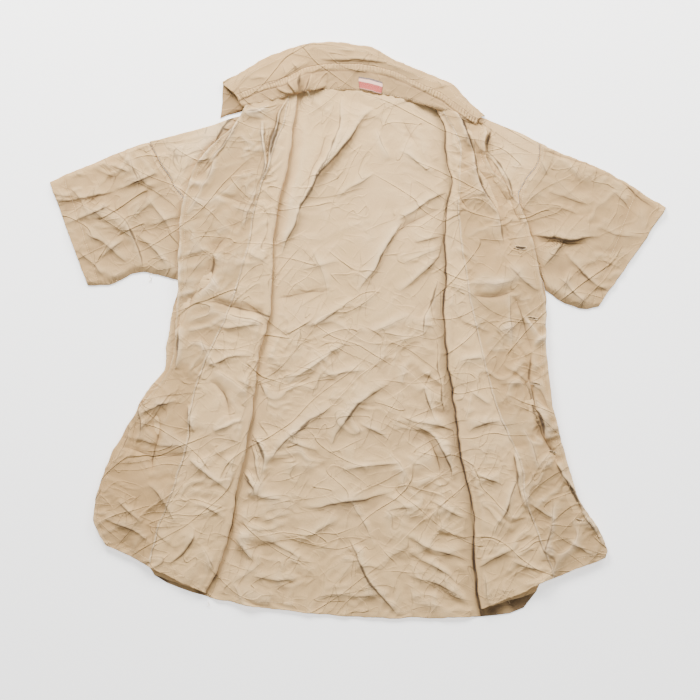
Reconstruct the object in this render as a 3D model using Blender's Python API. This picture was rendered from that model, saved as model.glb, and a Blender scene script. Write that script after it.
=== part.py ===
"""A short-sleeved service shirt, lying unbuttoned on its back with both fronts folded open.

Every cloth piece is a closed wall of one thickness. The tables are in millimetres, seen from
above: X runs across the shirt, Y up towards the collar, Z up from the surface that it lies on.
Right and left are the wearer's, so the right front lies at negative X.
"""
import math
from collections import namedtuple

import bpy
from mathutils import Vector

MM = 0.001
CLOTH = 1.2             # thickness of one layer of shirting
SEAM_GAP = 0.3          # clearance between pieces that are sewn or lie together
LAYER = CLOTH + SEAM_GAP
BACK_MID = CLOTH / 2
FRONT_MID = BACK_MID + LAYER
TURNED_MID = FRONT_MID + 4.8    # the turned-back half of a front, over the pocket and buttons
EDGE_MID = 3.3          # its edge where nothing lies under it
ROLL_FADE = 38.0        # the fold's height is gone this far from the fold line
ROWS_PER_SECTION = 3
LOWER_COLUMNS = 3
ROLL_COLUMNS = 4
INSIDE_COLUMNS = 4
FACING_COLUMNS = 3
BACK_COLUMNS = 15

KHAKI = (0.652, 0.551, 0.434, 1.0)
KHAKI_PALE = (0.680, 0.588, 0.470, 1.0)
KHAKI_TAN = (0.558, 0.451, 0.328, 1.0)
LABEL_RED = (0.680, 0.390, 0.350, 1.0)
HORN = (0.330, 0.220, 0.120, 1.0)

Section = namedtuple("Section", "side_x side_y fold_x fold_y line_x line_y edge_x edge_y roll")
# One row for each section from the neck to the hem: the armhole or side seam, the fold that
# faces the middle, the facing's free edge, the front edge, and the radius of the fold.
RIGHT_FRONT = [
    Section(-303, 274, -89, 344, -99, 341, -163, 326, 2.6),
    Section(-283, 240, -92, 304, -106, 303, -179, 297, 3.4),
    Section(-264, 209, -100, 268, -119, 271, -205, 273, 4.0),
    Section(-248, 183, -106, 222, -132, 231, -231, 244, 4.0),
    Section(-253, 132, -116, 173, -147, 181, -250, 197, 4.2),
    Section(-259, 74, -121, 123, -158, 128, -259, 138, 4.2),
    Section(-269, 30, -124, 67, -172, 72, -260, 81, 4.4),
    Section(-277, -20, -132, 9, -193, 13, -263, 19, 4.4),
    Section(-282, -57, -143, -35, -216, -32, -266, -30, 4.4),
    Section(-302, -83, -147, -71, -231, -72, -282, -71, 4.4),
    Section(-318, -109, -151, -112, -240, -109, -308, -102, 4.4),
    Section(-332, -158, -158, -158, -247, -160, -344, -154, 4.4),
    Section(-338, -216, -170, -213, -261, -212, -369, -210, 4.2),
    Section(-330, -278, -187, -281, -282, -268, -383, -260, 4.2),
    Section(-316, -319, -202, -336, -295, -310, -379, -285, 3.8),
    Section(-295, -354, -221, -378, -301, -342, -363, -309, 3.4),
]
LEFT_FRONT = [
    Section(261, 274, 105, 334, 116, 330, 174, 301, 2.6),
    Section(259, 245, 120, 304, 129, 303, 185, 291, 3.4),
    Section(243, 219, 127, 273, 146, 273, 182, 264, 4.0),
    Section(232, 190, 127, 239, 145, 238, 194, 233, 4.0),
    Section(243, 132, 133, 209, 145, 206, 223, 199, 4.2),
    Section(271, 57, 124, 158, 145, 155, 245, 149, 4.2),
    Section(269, 19, 126, 100, 152, 97, 259, 94, 4.4),
    Section(268, -20, 126, 38, 162, 38, 271, 36, 4.4),
    Section(269, -64, 129, -20, 176, -20, 271, -23, 4.4),
    Section(272, -104, 136, -86, 192, -86, 277, -83, 4.4),
    Section(277, -146, 146, -144, 214, -145, 288, -141, 4.4),
    Section(281, -190, 150, -191, 233, -190, 301, -188, 4.4),
    Section(284, -238, 162, -236, 240, -239, 317, -238, 4.2),
    Section(282, -286, 166, -289, 256, -286, 340, -277, 4.2),
    Section(277, -326, 169, -344, 272, -326, 359, -312, 3.8),
    Section(259, -378, 178, -403, 282, -357, 358, -329, 3.4),
]
ARMHOLE_SECTIONS = 5    # the armhole takes the first sections of each table, the side seam the rest
NECK_RISE = 16.0        # how far the back's top edge stands above a straight line between the folds
BACK_HEM = [(-295, -354), (-273, -367), (-244, -377), (-215, -386), (-157, -397), (-85, -407),
            (-12, -413), (60, -416), (118, -416), (176, -415), (220, -409), (242, -400), (259, -378)]
HEM_SECTIONS = 3        # the hem's curve is eased into this many sections above it
RIGHT_SHOULDER_DIP = 6.0    # how far the shoulder line sags between the armhole and the neck
LEFT_SHOULDER_DIP = -3.0
SHOULDER_SECTIONS = 1.5

SleeveRow = namedtuple("SleeveRow", "top_x top_y low_x low_y")
# From the armhole to the cuff: the sleeve's upper and lower edge.
RIGHT_SLEEVE = [
    SleeveRow(-303, 274, -259, 74),
    SleeveRow(-338, 262, -288, 80),
    SleeveRow(-373, 247, -321, 84),
    SleeveRow(-409, 232, -359, 67),
    SleeveRow(-446, 216, -392, 67),
]
LEFT_SLEEVE = [
    SleeveRow(261, 274, 271, 57),
    SleeveRow(295, 258, 291, 44),
    SleeveRow(336, 242, 313, 35),
    SleeveRow(374, 223, 329, 32),
    SleeveRow(446, 178, 348, 35),
]
SLEEVE_STEPS = 2
SLEEVE_RIM = 3.0        # the flattened tube turns over within this distance of its edge

CollarRow = namedtuple("CollarRow", "under_x under_y roll_x roll_y seam_x seam_y neck_x neck_y lift")
# From the wearer's right end to the left: the leaf's free edge, which lies beneath, the roll
# that makes the outline, the seam of leaf and stand, the neck seam, and the stand's height.
COLLAR = [
    CollarRow(-199, 309, -196, 360, -176, 340, -167, 324, 10.4),
    CollarRow(-177, 316, -172, 374, -156, 351, -147, 327, 10.6),
    CollarRow(-148, 326, -140, 392, -128, 358, -118, 333, 10.8),
    CollarRow(-119, 337, -106, 406, -100, 368, -96, 340, 11.4),
    CollarRow(-92, 349, -76, 415, -77, 381, -73, 345, 7.4),
    CollarRow(-67, 358, -44, 418, -50, 387, -48, 349, 2.4),
    CollarRow(-29, 364, -12, 415, -16, 387, -18, 348, 2.2),
    CollarRow(8, 364, 20, 410, 16, 384, 17, 345, 2.2),
    CollarRow(40, 359, 50, 394, 46, 377, 45, 339, 2.2),
    CollarRow(66, 352, 82, 381, 74, 365, 71, 332, 3.4),
    CollarRow(89, 343, 114, 367, 100, 354, 95, 326, 9.4),
    CollarRow(108, 337, 139, 355, 120, 344, 116, 320, 11.6),
    CollarRow(127, 332, 152, 340, 137, 331, 133, 315, 11.2),
    CollarRow(146, 325, 168, 325, 155, 318, 152, 306, 10.8),
    CollarRow(165, 316, 183, 310, 172, 306, 169, 297, 10.4),
]
COLLAR_ROLL = 2.6       # radius of the collar's fold
COLLAR_STEPS = 2
STAND_COLUMNS = 3
LEAF_COLUMNS = 3

Crease = namedtuple("Crease", "x0 y0 x1 y1 bow width height")
# Each crease is a ridge from one end to the other, bowed sideways, that dies out at both ends.
BACK_CREASES = [
    Crease(23, 325, -118, 107, 14, 18, 9),
    Crease(-18, 336, -93, 158, -9, 14, 6),
    Crease(69, 165, -1, 54, 3, 15, 7),
    Crease(125, 126, 50, 54, -9, 14, 5),
    Crease(58, 160, 138, 205, 4, 15, 5),
    Crease(92, -8, 118, 80, 0, 15, 6),
    Crease(48, -70, -46, -170, 6, 17, 7),
    Crease(82, -130, 140, -222, -12, 17, 8),
    Crease(58, -120, 142, -147, 4, 15, 5),
    Crease(-146, -194, -34, -108, -4, 17, 7),
    Crease(-22, -296, 66, -400, 7, 15, 6),
    Crease(-170, -350, -80, -362, 0, 15, 5),
    Crease(68, -290, 160, -336, 4, 15, 5),
    Crease(-88, -254, 54, -226, 9, 17, 6),
    Crease(-80, -4, -4, 50, 0, 16, 6),
    Crease(-104, -75, -14, -16, 0, 17, 6),
]
RIGHT_FRONT_CREASES = [
    Crease(-205, 128, -238, 10, 12, 15, 6),
    Crease(-228, 66, -136, 44, 4, 14, 4),
    Crease(-108, 300, -150, 190, -4, 14, 4),
    Crease(-230, -48, -152, -34, 0, 14, 4),
    Crease(-238, -76, -178, -134, -6, 14, 5),
    Crease(-330, -160, -240, -186, 4, 17, 7),
    Crease(-250, -184, -180, -232, 4, 15, 6),
    Crease(-300, -120, -304, -206, 0, 14, 4),
    Crease(-285, -330, -230, -276, 7, 14, 5),
]
LEFT_FRONT_CREASES = [
    Crease(138, 310, 168, 226, -6, 14, 6),
    Crease(168, 236, 208, 140, 3, 14, 6),
    Crease(158, 58, 236, 56, 3, 15, 4),
    Crease(246, -20, 260, -134, 0, 14, 5),
    Crease(270, -140, 344, -296, 6, 14, 6),
    Crease(142, -46, 196, -36, 0, 14, 4),
    Crease(198, -78, 256, -68, 0, 14, 4),
    Crease(188, -300, 238, -190, 4, 15, 5),
    Crease(176, -342, 236, -300, 0, 14, 5),
]
RIGHT_SLEEVE_CREASES = [
    Crease(-378, 190, -312, 88, -9, 16, 6),
    Crease(-436, 190, -340, 210, 6, 16, 5),
    Crease(-416, 130, -350, 176, 4, 16, 5),
    Crease(-340, 206, -280, 236, 0, 15, 4),
]
LEFT_SLEEVE_CREASES = [
    Crease(268, 250, 430, 166, -9, 15, 5),
    Crease(262, 142, 356, 134, 9, 16, 6),
    Crease(300, 112, 360, 58, 6, 15, 5),
    Crease(276, 86, 310, 136, 0, 15, 4),
]
HIGHEST_CREASE = 9.0
QUIET_SECTIONS = 1.0    # no crease rises under the collar, in this many sections from the neck

BUTTON_RADIUS = 5.6
BUTTON_THICK = 2.2
BUTTON_INSET = 19.0     # from the front edge to a button's middle
BUTTON_SECTIONS = [3.95, 6.6, 9.05, 11.05, 12.9]   # where the five buttons lie, counted in sections
BUTTON_SIDES = 16

POCKET_WIDTH = 92.0
POCKET_HEIGHT = 140.0
POCKET_CUT = 16.0       # the cut-off lower corners
FLAP_HEIGHT = 52.0
FLAP_POINT = 10.0
POCKET_BELOW_FLAP = 22.0
RIGHT_POCKET_AT = (-186, 140)   # the middle of the flap's top edge
LEFT_POCKET_AT = (191, 146)

LABEL_SPAN = (6.55, 7.62)       # along the stand, counted in collar rows
LABEL_RISE = (0.14, 0.56)       # across the stand, from the neck seam up
LABEL_THICK = 0.6


def clear_scene():
    """Take every object out of the file that the script runs in."""
    for thing in list(bpy.data.objects):
        bpy.data.objects.remove(thing)


def finish_for(name, colour, roughness):
    """A plain Principled material in the piece's own colour."""
    material = bpy.data.materials.new(name + "_finish")
    material.use_nodes = True
    shader = material.node_tree.nodes["Principled BSDF"]
    shader.inputs["Base Color"].default_value = colour
    shader.inputs["Roughness"].default_value = roughness
    shader.inputs["Metallic"].default_value = 0.0
    return material


def signed_volume(points, faces):
    """Six times the enclosed volume, negative when the faces point inwards."""
    return sum(points[a].dot(points[b].cross(points[c])) for a, b, c in faces)


def add_piece(name, points, faces, colour, roughness=0.9):
    """Make one object from points in millimetres and triangles."""
    if signed_volume(points, faces) < 0:
        faces = [(a, c, b) for a, b, c in faces]
    mesh = bpy.data.meshes.new(name)
    mesh.from_pydata([point * MM for point in points], [], faces)
    mesh.validate()
    piece = bpy.data.objects.new(name, mesh)
    piece.data.materials.append(finish_for(name, colour, roughness))
    bpy.context.collection.objects.link(piece)
    mesh.shade_smooth()
    return piece


def blend(low, high, share):
    return low + (high - low) * share


def ease(start, end, value):
    """Nought before start and one after end, smooth in between."""
    share = min(1.0, max(0.0, (value - start) / (end - start)))
    return share * share * (3 - 2 * share)


def curve_through(values, at):
    """A smooth curve through equally spaced values, read at a fractional index."""
    last = len(values) - 1
    first = min(int(at), last - 1)
    share = at - first
    before = values[max(first - 1, 0)]
    start = values[first]
    end = values[first + 1]
    after = values[min(first + 2, last)]
    rise_start = (end - before) / 2
    rise_end = (after - start) / 2
    square = share * share
    cube = square * share
    return (start * (2 * cube - 3 * square + 1) + rise_start * (cube - 2 * square + share)
            + end * (3 * square - 2 * cube) + rise_end * (cube - square))


def row_at(table, at):
    """A row of a table read between its rows, column by column."""
    return type(table[0])(*[curve_through(column, at) for column in zip(*table)])


def crease_height(creases, x, y):
    """The height of all creases at one place."""
    total = 0.0
    for crease in creases:
        run_x = crease.x1 - crease.x0
        run_y = crease.y1 - crease.y0
        length = math.hypot(run_x, run_y)
        away_x = x - crease.x0
        away_y = y - crease.y0
        share = (away_x * run_x + away_y * run_y) / length ** 2
        if 0 < share < 1:
            off = (away_y * run_x - away_x * run_y) / length - 4 * crease.bow * share * (1 - share)
            total += crease.height * math.sin(math.pi * share) ** 0.7 * math.exp(-(off / crease.width) ** 2)
    return min(total, HIGHEST_CREASE)


def grid_faces(rows, columns, first, flip):
    """The triangles of one skin whose points start at first."""
    faces = []
    for i in range(rows - 1):
        for j in range(columns - 1):
            a = first + i * columns + j
            b = a + 1
            c = a + columns + 1
            d = a + columns
            pair = [(a, b, c), (a, c, d)]
            faces += [(p, r, q) for p, q, r in pair] if flip else pair
    return faces


def wall_between(under, over):
    """Points and triangles of the closed wall between two skins with the same rows and columns."""
    rows = len(under)
    columns = len(under[0])
    points = [point for row in under for point in row] + [point for row in over for point in row]
    step = rows * columns
    faces = grid_faces(rows, columns, 0, True) + grid_faces(rows, columns, step, False)
    border = [j for j in range(columns)]
    border += [i * columns + columns - 1 for i in range(1, rows)]
    border += [(rows - 1) * columns + j for j in range(columns - 2, -1, -1)]
    border += [i * columns for i in range(rows - 2, 0, -1)]
    for a, b in zip(border, border[1:] + border[:1]):
        faces += [(a, b, b + step), (a, b + step, a + step)]
    return points, faces


def skin_normals(grid):
    """The upward-turned normal of a skin at each of its points."""
    rows = len(grid)
    columns = len(grid[0])
    normals = []
    for i in range(rows):
        line = []
        for j in range(columns):
            down = grid[min(i + 1, rows - 1)][j] - grid[max(i - 1, 0)][j]
            across = grid[i][min(j + 1, columns - 1)] - grid[i][max(j - 1, 0)]
            line.append(down.cross(across).normalized())
        normals.append(line)
    return normals


def moved(grid, normals, distance):
    return [[p + n * distance for p, n in zip(line, turned)] for line, turned in zip(grid, normals)]


def body_stations():
    """Fractional section numbers of the rows that the back and both fronts share."""
    count = (len(RIGHT_FRONT) - 1) * ROWS_PER_SECTION
    return [i / ROWS_PER_SECTION for i in range(count + 1)]


def front_mid_grid(table, creases, dip):
    """The middle of a front's wall: out from the side, round the fold, and back to the front edge."""
    grid = []
    for at in body_stations():
        row = row_at(table, at)
        side = Vector((row.side_x, row.side_y, 0))
        fold = Vector((row.fold_x, row.fold_y, 0))
        line = Vector((row.line_x, row.line_y, 0))
        edge = Vector((row.edge_x, row.edge_y, 0))
        inward = (fold - side).normalized()
        start = fold - inward * row.roll
        points = []
        for j in range(LOWER_COLUMNS + 1):
            place = shoulder_line(side, start, j / LOWER_COLUMNS, dip, at)
            points.append(Vector((place.x, place.y, FRONT_MID)))
        for j in range(1, ROLL_COLUMNS):
            turn = math.pi * j / ROLL_COLUMNS
            place = start + inward * row.roll * math.sin(turn)
            points.append(Vector((place.x, place.y, FRONT_MID + row.roll * (1 - math.cos(turn)))))
        upper = [start.lerp(line, j / INSIDE_COLUMNS) for j in range(INSIDE_COLUMNS + 1)]
        upper += [line.lerp(edge, j / FACING_COLUMNS) for j in range(1, FACING_COLUMNS + 1)]
        for place in upper:
            points.append(Vector((place.x, place.y, turned_height(table, creases, row, at, start, place))))
        grid.append(points)
    return grid


def turned_height(table, creases, row, at, start, place):
    """The height of a front's turned-back half: the fold's roll dies away, and creases rise."""
    from_fold = (place - start).length
    rolled = FRONT_MID + 2 * row.roll
    height = blend(rolled, TURNED_MID, ease(0, ROLL_FADE, from_fold))
    if at > ARMHOLE_SECTIONS:
        beyond_side = abs(place.x) - abs(row.side_x)
        height = blend(height, EDGE_MID, ease(4, 34, beyond_side))
    open_part = ease(QUIET_SECTIONS, QUIET_SECTIONS + 1, at)
    return height + crease_height(creases, place.x, place.y) * open_part * ease(2, 12, from_fold)


def add_front(name, table, creases, dip):
    """One front and the facing strip that shows on its turned-back edge."""
    grid = front_mid_grid(table, creases, dip)
    normals = skin_normals(grid)
    if normals[0][-1].z < 0:
        normals = [[-n for n in line] for line in normals]
    points, faces = wall_between(moved(grid, normals, -CLOTH / 2), moved(grid, normals, CLOTH / 2))
    add_piece(name + "_front", points, faces, KHAKI)
    first = -FACING_COLUMNS - 1
    strip = [line[first:] for line in grid]
    strip_normals = [line[first:] for line in normals]
    lower = CLOTH / 2 + SEAM_GAP
    points, faces = wall_between(moved(strip, strip_normals, lower),
                                 moved(strip, strip_normals, lower + CLOTH))
    add_piece(name + "_facing", points, faces, KHAKI_TAN)


def shoulder_line(side, fold, share, dip, at):
    """A place between the side and the fold; near the top the shoulder line sags."""
    place = side.lerp(fold, share)
    place.y -= dip * 4 * share * (1 - share) * (1 - ease(0, SHOULDER_SECTIONS, at))
    return place


def straight_back_line(at):
    """The plan points of the back across one section, before its hem is curved."""
    right = row_at(RIGHT_FRONT, at)
    left = row_at(LEFT_FRONT, at)
    right_side = Vector((right.side_x, right.side_y, 0))
    right_fold = Vector((right.fold_x, right.fold_y, 0))
    left_side = Vector((left.side_x, left.side_y, 0))
    left_fold = Vector((left.fold_x, left.fold_y, 0))
    neck = NECK_RISE * (1 - ease(0, 3, at))
    places = [shoulder_line(right_side, right_fold, j / LOWER_COLUMNS, RIGHT_SHOULDER_DIP, at)
              for j in range(LOWER_COLUMNS)]
    for j in range(BACK_COLUMNS + 1):
        share = j / BACK_COLUMNS
        place = right_fold.lerp(left_fold, share)
        place.y += neck * min(1.0, 4.6 * share * (1 - share))
        places.append(place)
    places += [shoulder_line(left_side, left_fold, 1 - j / LOWER_COLUMNS, LEFT_SHOULDER_DIP, at)
               for j in range(1, LOWER_COLUMNS + 1)]
    return places


def hem_at(x):
    """Where the back's hem lies at one distance from the middle."""
    for (x0, y0), (x1, y1) in zip(BACK_HEM, BACK_HEM[1:]):
        if x <= x1:
            return blend(y0, y1, max(0.0, x - x0) / (x1 - x0))
    return BACK_HEM[-1][1]


def back_line(at):
    """The plan points of the back across one section, from the right side to the left."""
    last = len(RIGHT_FRONT) - 1
    to_hem = ease(last - HEM_SECTIONS, last, at)
    places = straight_back_line(at)
    for place, end in zip(places, straight_back_line(last)):
        place.y += (hem_at(end.x) - end.y) * to_hem
    return places


def add_back():
    """The back: flat under the fronts, creased where it shows between them."""
    under = []
    over = []
    first_open = LOWER_COLUMNS + 1
    last_open = LOWER_COLUMNS + BACK_COLUMNS - 1
    for at in body_stations():
        low = []
        for j, place in enumerate(back_line(at)):
            shows = first_open <= j <= last_open and at > QUIET_SECTIONS / 2
            rise = crease_height(BACK_CREASES, place.x, place.y) if shows else 0.0
            low.append(Vector((place.x, place.y, rise)))
        under.append(low)
        over.append([point + Vector((0, 0, CLOTH)) for point in low])
    points, faces = wall_between(under, over)
    add_piece("back", points, faces, KHAKI_PALE)


def armhole_points(table):
    """The armhole's points, the same ones that the back and the front have."""
    count = ARMHOLE_SECTIONS * ROWS_PER_SECTION
    rows = [row_at(table, i / ROWS_PER_SECTION) for i in range(count + 1)]
    return [Vector((row.side_x, row.side_y, 0)) for row in rows]


def add_sleeve(name, table, body_table, creases, outward):
    """A sleeve: a tube pressed flat, open at the armhole and at the cuff."""
    armhole = armhole_points(body_table)
    chord = [armhole[0].lerp(armhole[-1], k / (len(armhole) - 1)) for k in range(len(armhole))]
    length = (armhole[-1] - armhole[0]).length
    shares = [(p - armhole[0]).length / length for p in chord]
    rim = SLEEVE_RIM / length
    shares = [0.0, rim] + shares[1:-1] + [1 - rim, 1.0]
    count = (len(table) - 1) * SLEEVE_STEPS
    outer_rings = []
    inner_rings = []
    for step in range(count + 1):
        at = step / SLEEVE_STEPS
        row = row_at(table, at)
        fade = 1 - ease(0, len(table) - 1, at)
        top = Vector((row.top_x, row.top_y, 0))
        low = Vector((row.low_x, row.low_y, 0))
        places = []
        for share in shares:
            place = top.lerp(low, share)
            bulge = curve_through([a - c for a, c in zip(armhole, chord)], share * (len(armhole) - 1))
            place = place + bulge * fade + Vector((outward * 2 * SEAM_GAP, 0, 0))
            places.append(place)
        outer_rings.append(sleeve_ring(places, creases, 0.0, step, count))
        inner_rings.append(sleeve_ring(places, creases, CLOTH, step, count))
    points, faces = tube_wall(outer_rings, inner_rings)
    add_piece(name + "_sleeve", points, faces, KHAKI)


def sleeve_ring(places, creases, inset, step, count):
    """One ring of a flattened tube, its outer skin at inset 0 and its inner one a cloth inside."""
    down = (places[-1] - places[0]).normalized()
    middle = CLOTH + SEAM_GAP / 2
    top_height = 2 * CLOTH + SEAM_GAP
    ring = [places[0] + down * inset + Vector((0, 0, middle))]
    ring += [place + Vector((0, 0, inset)) for place in places[1:-1]]
    ring.append(places[-1] - down * inset + Vector((0, 0, middle)))
    at_seam = ease(0, 2, step)
    for place in reversed(places[1:-1]):
        near_edge = min((place - places[0]).length, (place - places[-1]).length)
        rise = crease_height(creases, place.x, place.y) * at_seam * ease(2, 26, near_edge)
        ring.append(place + Vector((0, 0, top_height - inset + rise)))
    return ring


def tube_wall(outer_rings, inner_rings):
    """Points and triangles of a tube's wall, with its two open ends."""
    around = len(outer_rings[0])
    count = len(outer_rings)
    points = [p for ring in outer_rings for p in ring] + [p for ring in inner_rings for p in ring]
    step = around * count
    faces = []
    for i in range(count - 1):
        for k in range(around):
            a = i * around + k
            b = i * around + (k + 1) % around
            c = b + around
            d = a + around
            faces += [(a, b, c), (a, c, d)]
            faces += [(a + step, c + step, b + step), (a + step, d + step, c + step)]
    last = (count - 1) * around
    for k in range(around):
        n = (k + 1) % around
        faces += [(k, k + step, n + step), (k, n + step, n)]
        faces += [(last + k, last + n, last + n + step), (last + k, last + n + step, last + k + step)]
    return points, faces


def collar_rows():
    count = (len(COLLAR) - 1) * COLLAR_STEPS
    return [row_at(COLLAR, i / COLLAR_STEPS) for i in range(count + 1)]


def add_collar():
    """The collar's leaf, folded under at the outline, and the stand between it and the neck seam."""
    leaf = []
    stand = []
    for row in collar_rows():
        under = Vector((row.under_x, row.under_y, BACK_MID))
        roll = Vector((row.roll_x, row.roll_y, BACK_MID))
        seam = Vector((row.seam_x, row.seam_y, max(row.lift, 2 * COLLAR_ROLL)))
        neck = Vector((row.neck_x, row.neck_y, row.lift))
        outward = (roll - under).normalized()
        start = roll - outward * COLLAR_ROLL
        line = [under.lerp(start, j / LEAF_COLUMNS) for j in range(LEAF_COLUMNS + 1)]
        for j in range(1, ROLL_COLUMNS + 1):
            turn = math.pi * j / ROLL_COLUMNS
            lift = COLLAR_ROLL * (1 - math.cos(turn))
            line.append(start + outward * COLLAR_ROLL * math.sin(turn) + Vector((0, 0, lift)))
        top = line[-1]
        down = (neck - seam).normalized()
        leaf_end = seam - down * SEAM_GAP
        line += [top.lerp(leaf_end, j / LEAF_COLUMNS) for j in range(1, LEAF_COLUMNS + 1)]
        leaf.append(line)
        stand.append([seam.lerp(neck, j / STAND_COLUMNS) for j in range(STAND_COLUMNS + 1)])
    for name, grid, colour in (("collar_leaf", leaf, KHAKI), ("collar_stand", stand, KHAKI)):
        normals = skin_normals(grid)
        if normals[len(grid) // 2][-1].z < 0:
            normals = [[-n for n in line] for line in normals]
        points, faces = wall_between(moved(grid, normals, -CLOTH / 2), moved(grid, normals, CLOTH / 2))
        add_piece(name, points, faces, colour)


def stand_place(at, share):
    """A place on the middle of the stand: share 0 at the neck seam, 1 at the leaf."""
    row = row_at(COLLAR, at)
    neck = Vector((row.neck_x, row.neck_y, row.lift))
    seam = Vector((row.seam_x, row.seam_y, max(row.lift, 2 * COLLAR_ROLL)))
    return neck.lerp(seam, share)


def add_label():
    """The woven neck label, bare, sewn on the stand."""
    clear = Vector((0, 0, CLOTH / 2 + 1.5 * SEAM_GAP))
    under = [[stand_place(blend(*LABEL_SPAN, i / 3), blend(*LABEL_RISE, j / 2)) + clear
              for j in range(3)] for i in range(4)]
    over = [[point + Vector((0, 0, LABEL_THICK)) for point in line] for line in under]
    points, faces = wall_between(under, over)
    add_piece("neck_label", points, faces, LABEL_RED)


def flat_piece(name, outline, bottom, top, colour, roughness=0.9):
    """A flat piece with a straight-edged outline."""
    count = len(outline)
    points = [Vector((x, y, bottom)) for x, y in outline] + [Vector((x, y, top)) for x, y in outline]
    faces = []
    for k in range(count):
        n = (k + 1) % count
        faces += [(k, n, n + count), (k, n + count, k + count)]
    for k in range(1, count - 1):
        faces += [(0, k + 1, k), (count, count + k, count + k + 1)]
    add_piece(name, points, faces, colour, roughness)


def add_pocket(name, place):
    """A chest pocket and its flap on a front's outside, which the turned-back half hides."""
    x, y = place
    half = POCKET_WIDTH / 2
    top = y - POCKET_BELOW_FLAP
    low = top - POCKET_HEIGHT
    pocket = [(x - half, top), (x - half, low + POCKET_CUT), (x - half + POCKET_CUT, low),
              (x + half - POCKET_CUT, low), (x + half, low + POCKET_CUT), (x + half, top)]
    flap = [(x - half, y), (x - half, y - FLAP_HEIGHT), (x, y - FLAP_HEIGHT - FLAP_POINT),
            (x + half, y - FLAP_HEIGHT), (x + half, y)]
    pocket_top = TURNED_MID - CLOTH / 2 - SEAM_GAP
    flap_top = pocket_top - LAYER
    flat_piece(name + "_pocket", pocket, pocket_top - CLOTH, pocket_top, KHAKI)
    flat_piece(name + "_pocket_flap", flap, flap_top - CLOTH, flap_top, KHAKI)


def add_buttons():
    """Five buttons on the right front's outside, just inside its edge."""
    for number, at in enumerate(BUTTON_SECTIONS, start=1):
        row = row_at(RIGHT_FRONT, at)
        edge = Vector((row.edge_x, row.edge_y, 0))
        line = Vector((row.line_x, row.line_y, 0))
        inward = (line - edge).normalized()
        start = Vector((row.fold_x, row.fold_y, 0))
        heights = []
        for side in (-1, 0, 1):
            rim = edge + inward * (BUTTON_INSET + side * BUTTON_RADIUS)
            heights.append(turned_height(RIGHT_FRONT, RIGHT_FRONT_CREASES, row, at, start, rim))
        place = edge + inward * BUTTON_INSET
        top = sum(heights) / len(heights) - CLOTH / 2 - SEAM_GAP
        outline = []
        for k in range(BUTTON_SIDES):
            turn = 2 * math.pi * k / BUTTON_SIDES
            outline.append((place.x + BUTTON_RADIUS * math.cos(turn),
                            place.y + BUTTON_RADIUS * math.sin(turn)))
        bottom = max(top - BUTTON_THICK, SEAM_GAP)
        flat_piece("button_%d" % number, outline, bottom, top, HORN, 0.45)


def centre_on_origin():
    """Move all pieces together so that the origin lies under the middle of the shirt."""
    pieces = [thing for thing in bpy.data.objects if thing.type == "MESH"]
    xs = [point.co.x for piece in pieces for point in piece.data.vertices]
    ys = [point.co.y for piece in pieces for point in piece.data.vertices]
    shift = Vector((-(min(xs) + max(xs)) / 2, -(min(ys) + max(ys)) / 2, 0))
    for piece in pieces:
        for point in piece.data.vertices:
            point.co += shift
    print("moved to the middle by", [round(value / MM, 2) for value in shift])


def build_shirt():
    clear_scene()
    add_back()
    add_front("right", RIGHT_FRONT, RIGHT_FRONT_CREASES, RIGHT_SHOULDER_DIP)
    add_front("left", LEFT_FRONT, LEFT_FRONT_CREASES, LEFT_SHOULDER_DIP)
    add_sleeve("right", RIGHT_SLEEVE, RIGHT_FRONT, RIGHT_SLEEVE_CREASES, -1)
    add_sleeve("left", LEFT_SLEEVE, LEFT_FRONT, LEFT_SLEEVE_CREASES, 1)
    add_collar()
    add_label()
    add_pocket("right", RIGHT_POCKET_AT)
    add_pocket("left", LEFT_POCKET_AT)
    add_buttons()
    centre_on_origin()


build_shirt()
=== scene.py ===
# %% [markdown]
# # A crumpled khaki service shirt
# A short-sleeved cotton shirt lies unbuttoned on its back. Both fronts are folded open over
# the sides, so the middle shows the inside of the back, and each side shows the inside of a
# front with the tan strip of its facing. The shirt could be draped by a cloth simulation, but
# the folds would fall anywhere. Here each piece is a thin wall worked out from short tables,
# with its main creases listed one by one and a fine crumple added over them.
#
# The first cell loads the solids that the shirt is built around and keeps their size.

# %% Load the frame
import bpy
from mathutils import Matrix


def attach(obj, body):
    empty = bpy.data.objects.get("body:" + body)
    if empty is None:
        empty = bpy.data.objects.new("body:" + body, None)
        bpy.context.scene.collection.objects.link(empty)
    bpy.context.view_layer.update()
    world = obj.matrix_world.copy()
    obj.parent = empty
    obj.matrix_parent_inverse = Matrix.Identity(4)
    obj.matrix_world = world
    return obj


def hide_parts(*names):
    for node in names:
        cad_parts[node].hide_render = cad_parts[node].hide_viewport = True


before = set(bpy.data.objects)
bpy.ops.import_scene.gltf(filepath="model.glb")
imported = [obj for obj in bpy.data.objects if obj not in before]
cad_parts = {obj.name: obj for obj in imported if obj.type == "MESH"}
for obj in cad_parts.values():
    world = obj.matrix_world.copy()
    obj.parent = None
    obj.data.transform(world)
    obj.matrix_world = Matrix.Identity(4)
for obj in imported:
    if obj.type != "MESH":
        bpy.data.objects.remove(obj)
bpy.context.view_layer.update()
print("nodes in the frame:", len(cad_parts))

# %% [markdown]
# All tables are in millimetres, seen from above: X across the shirt, Y up to the collar, Z up
# from the surface it lies on. Right and left are the wearer's. Blender works in metres, so
# each point is scaled once, when its mesh is made.

# %% Units and thicknesses
import math
from collections import namedtuple

import bpy
import numpy as np

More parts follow.
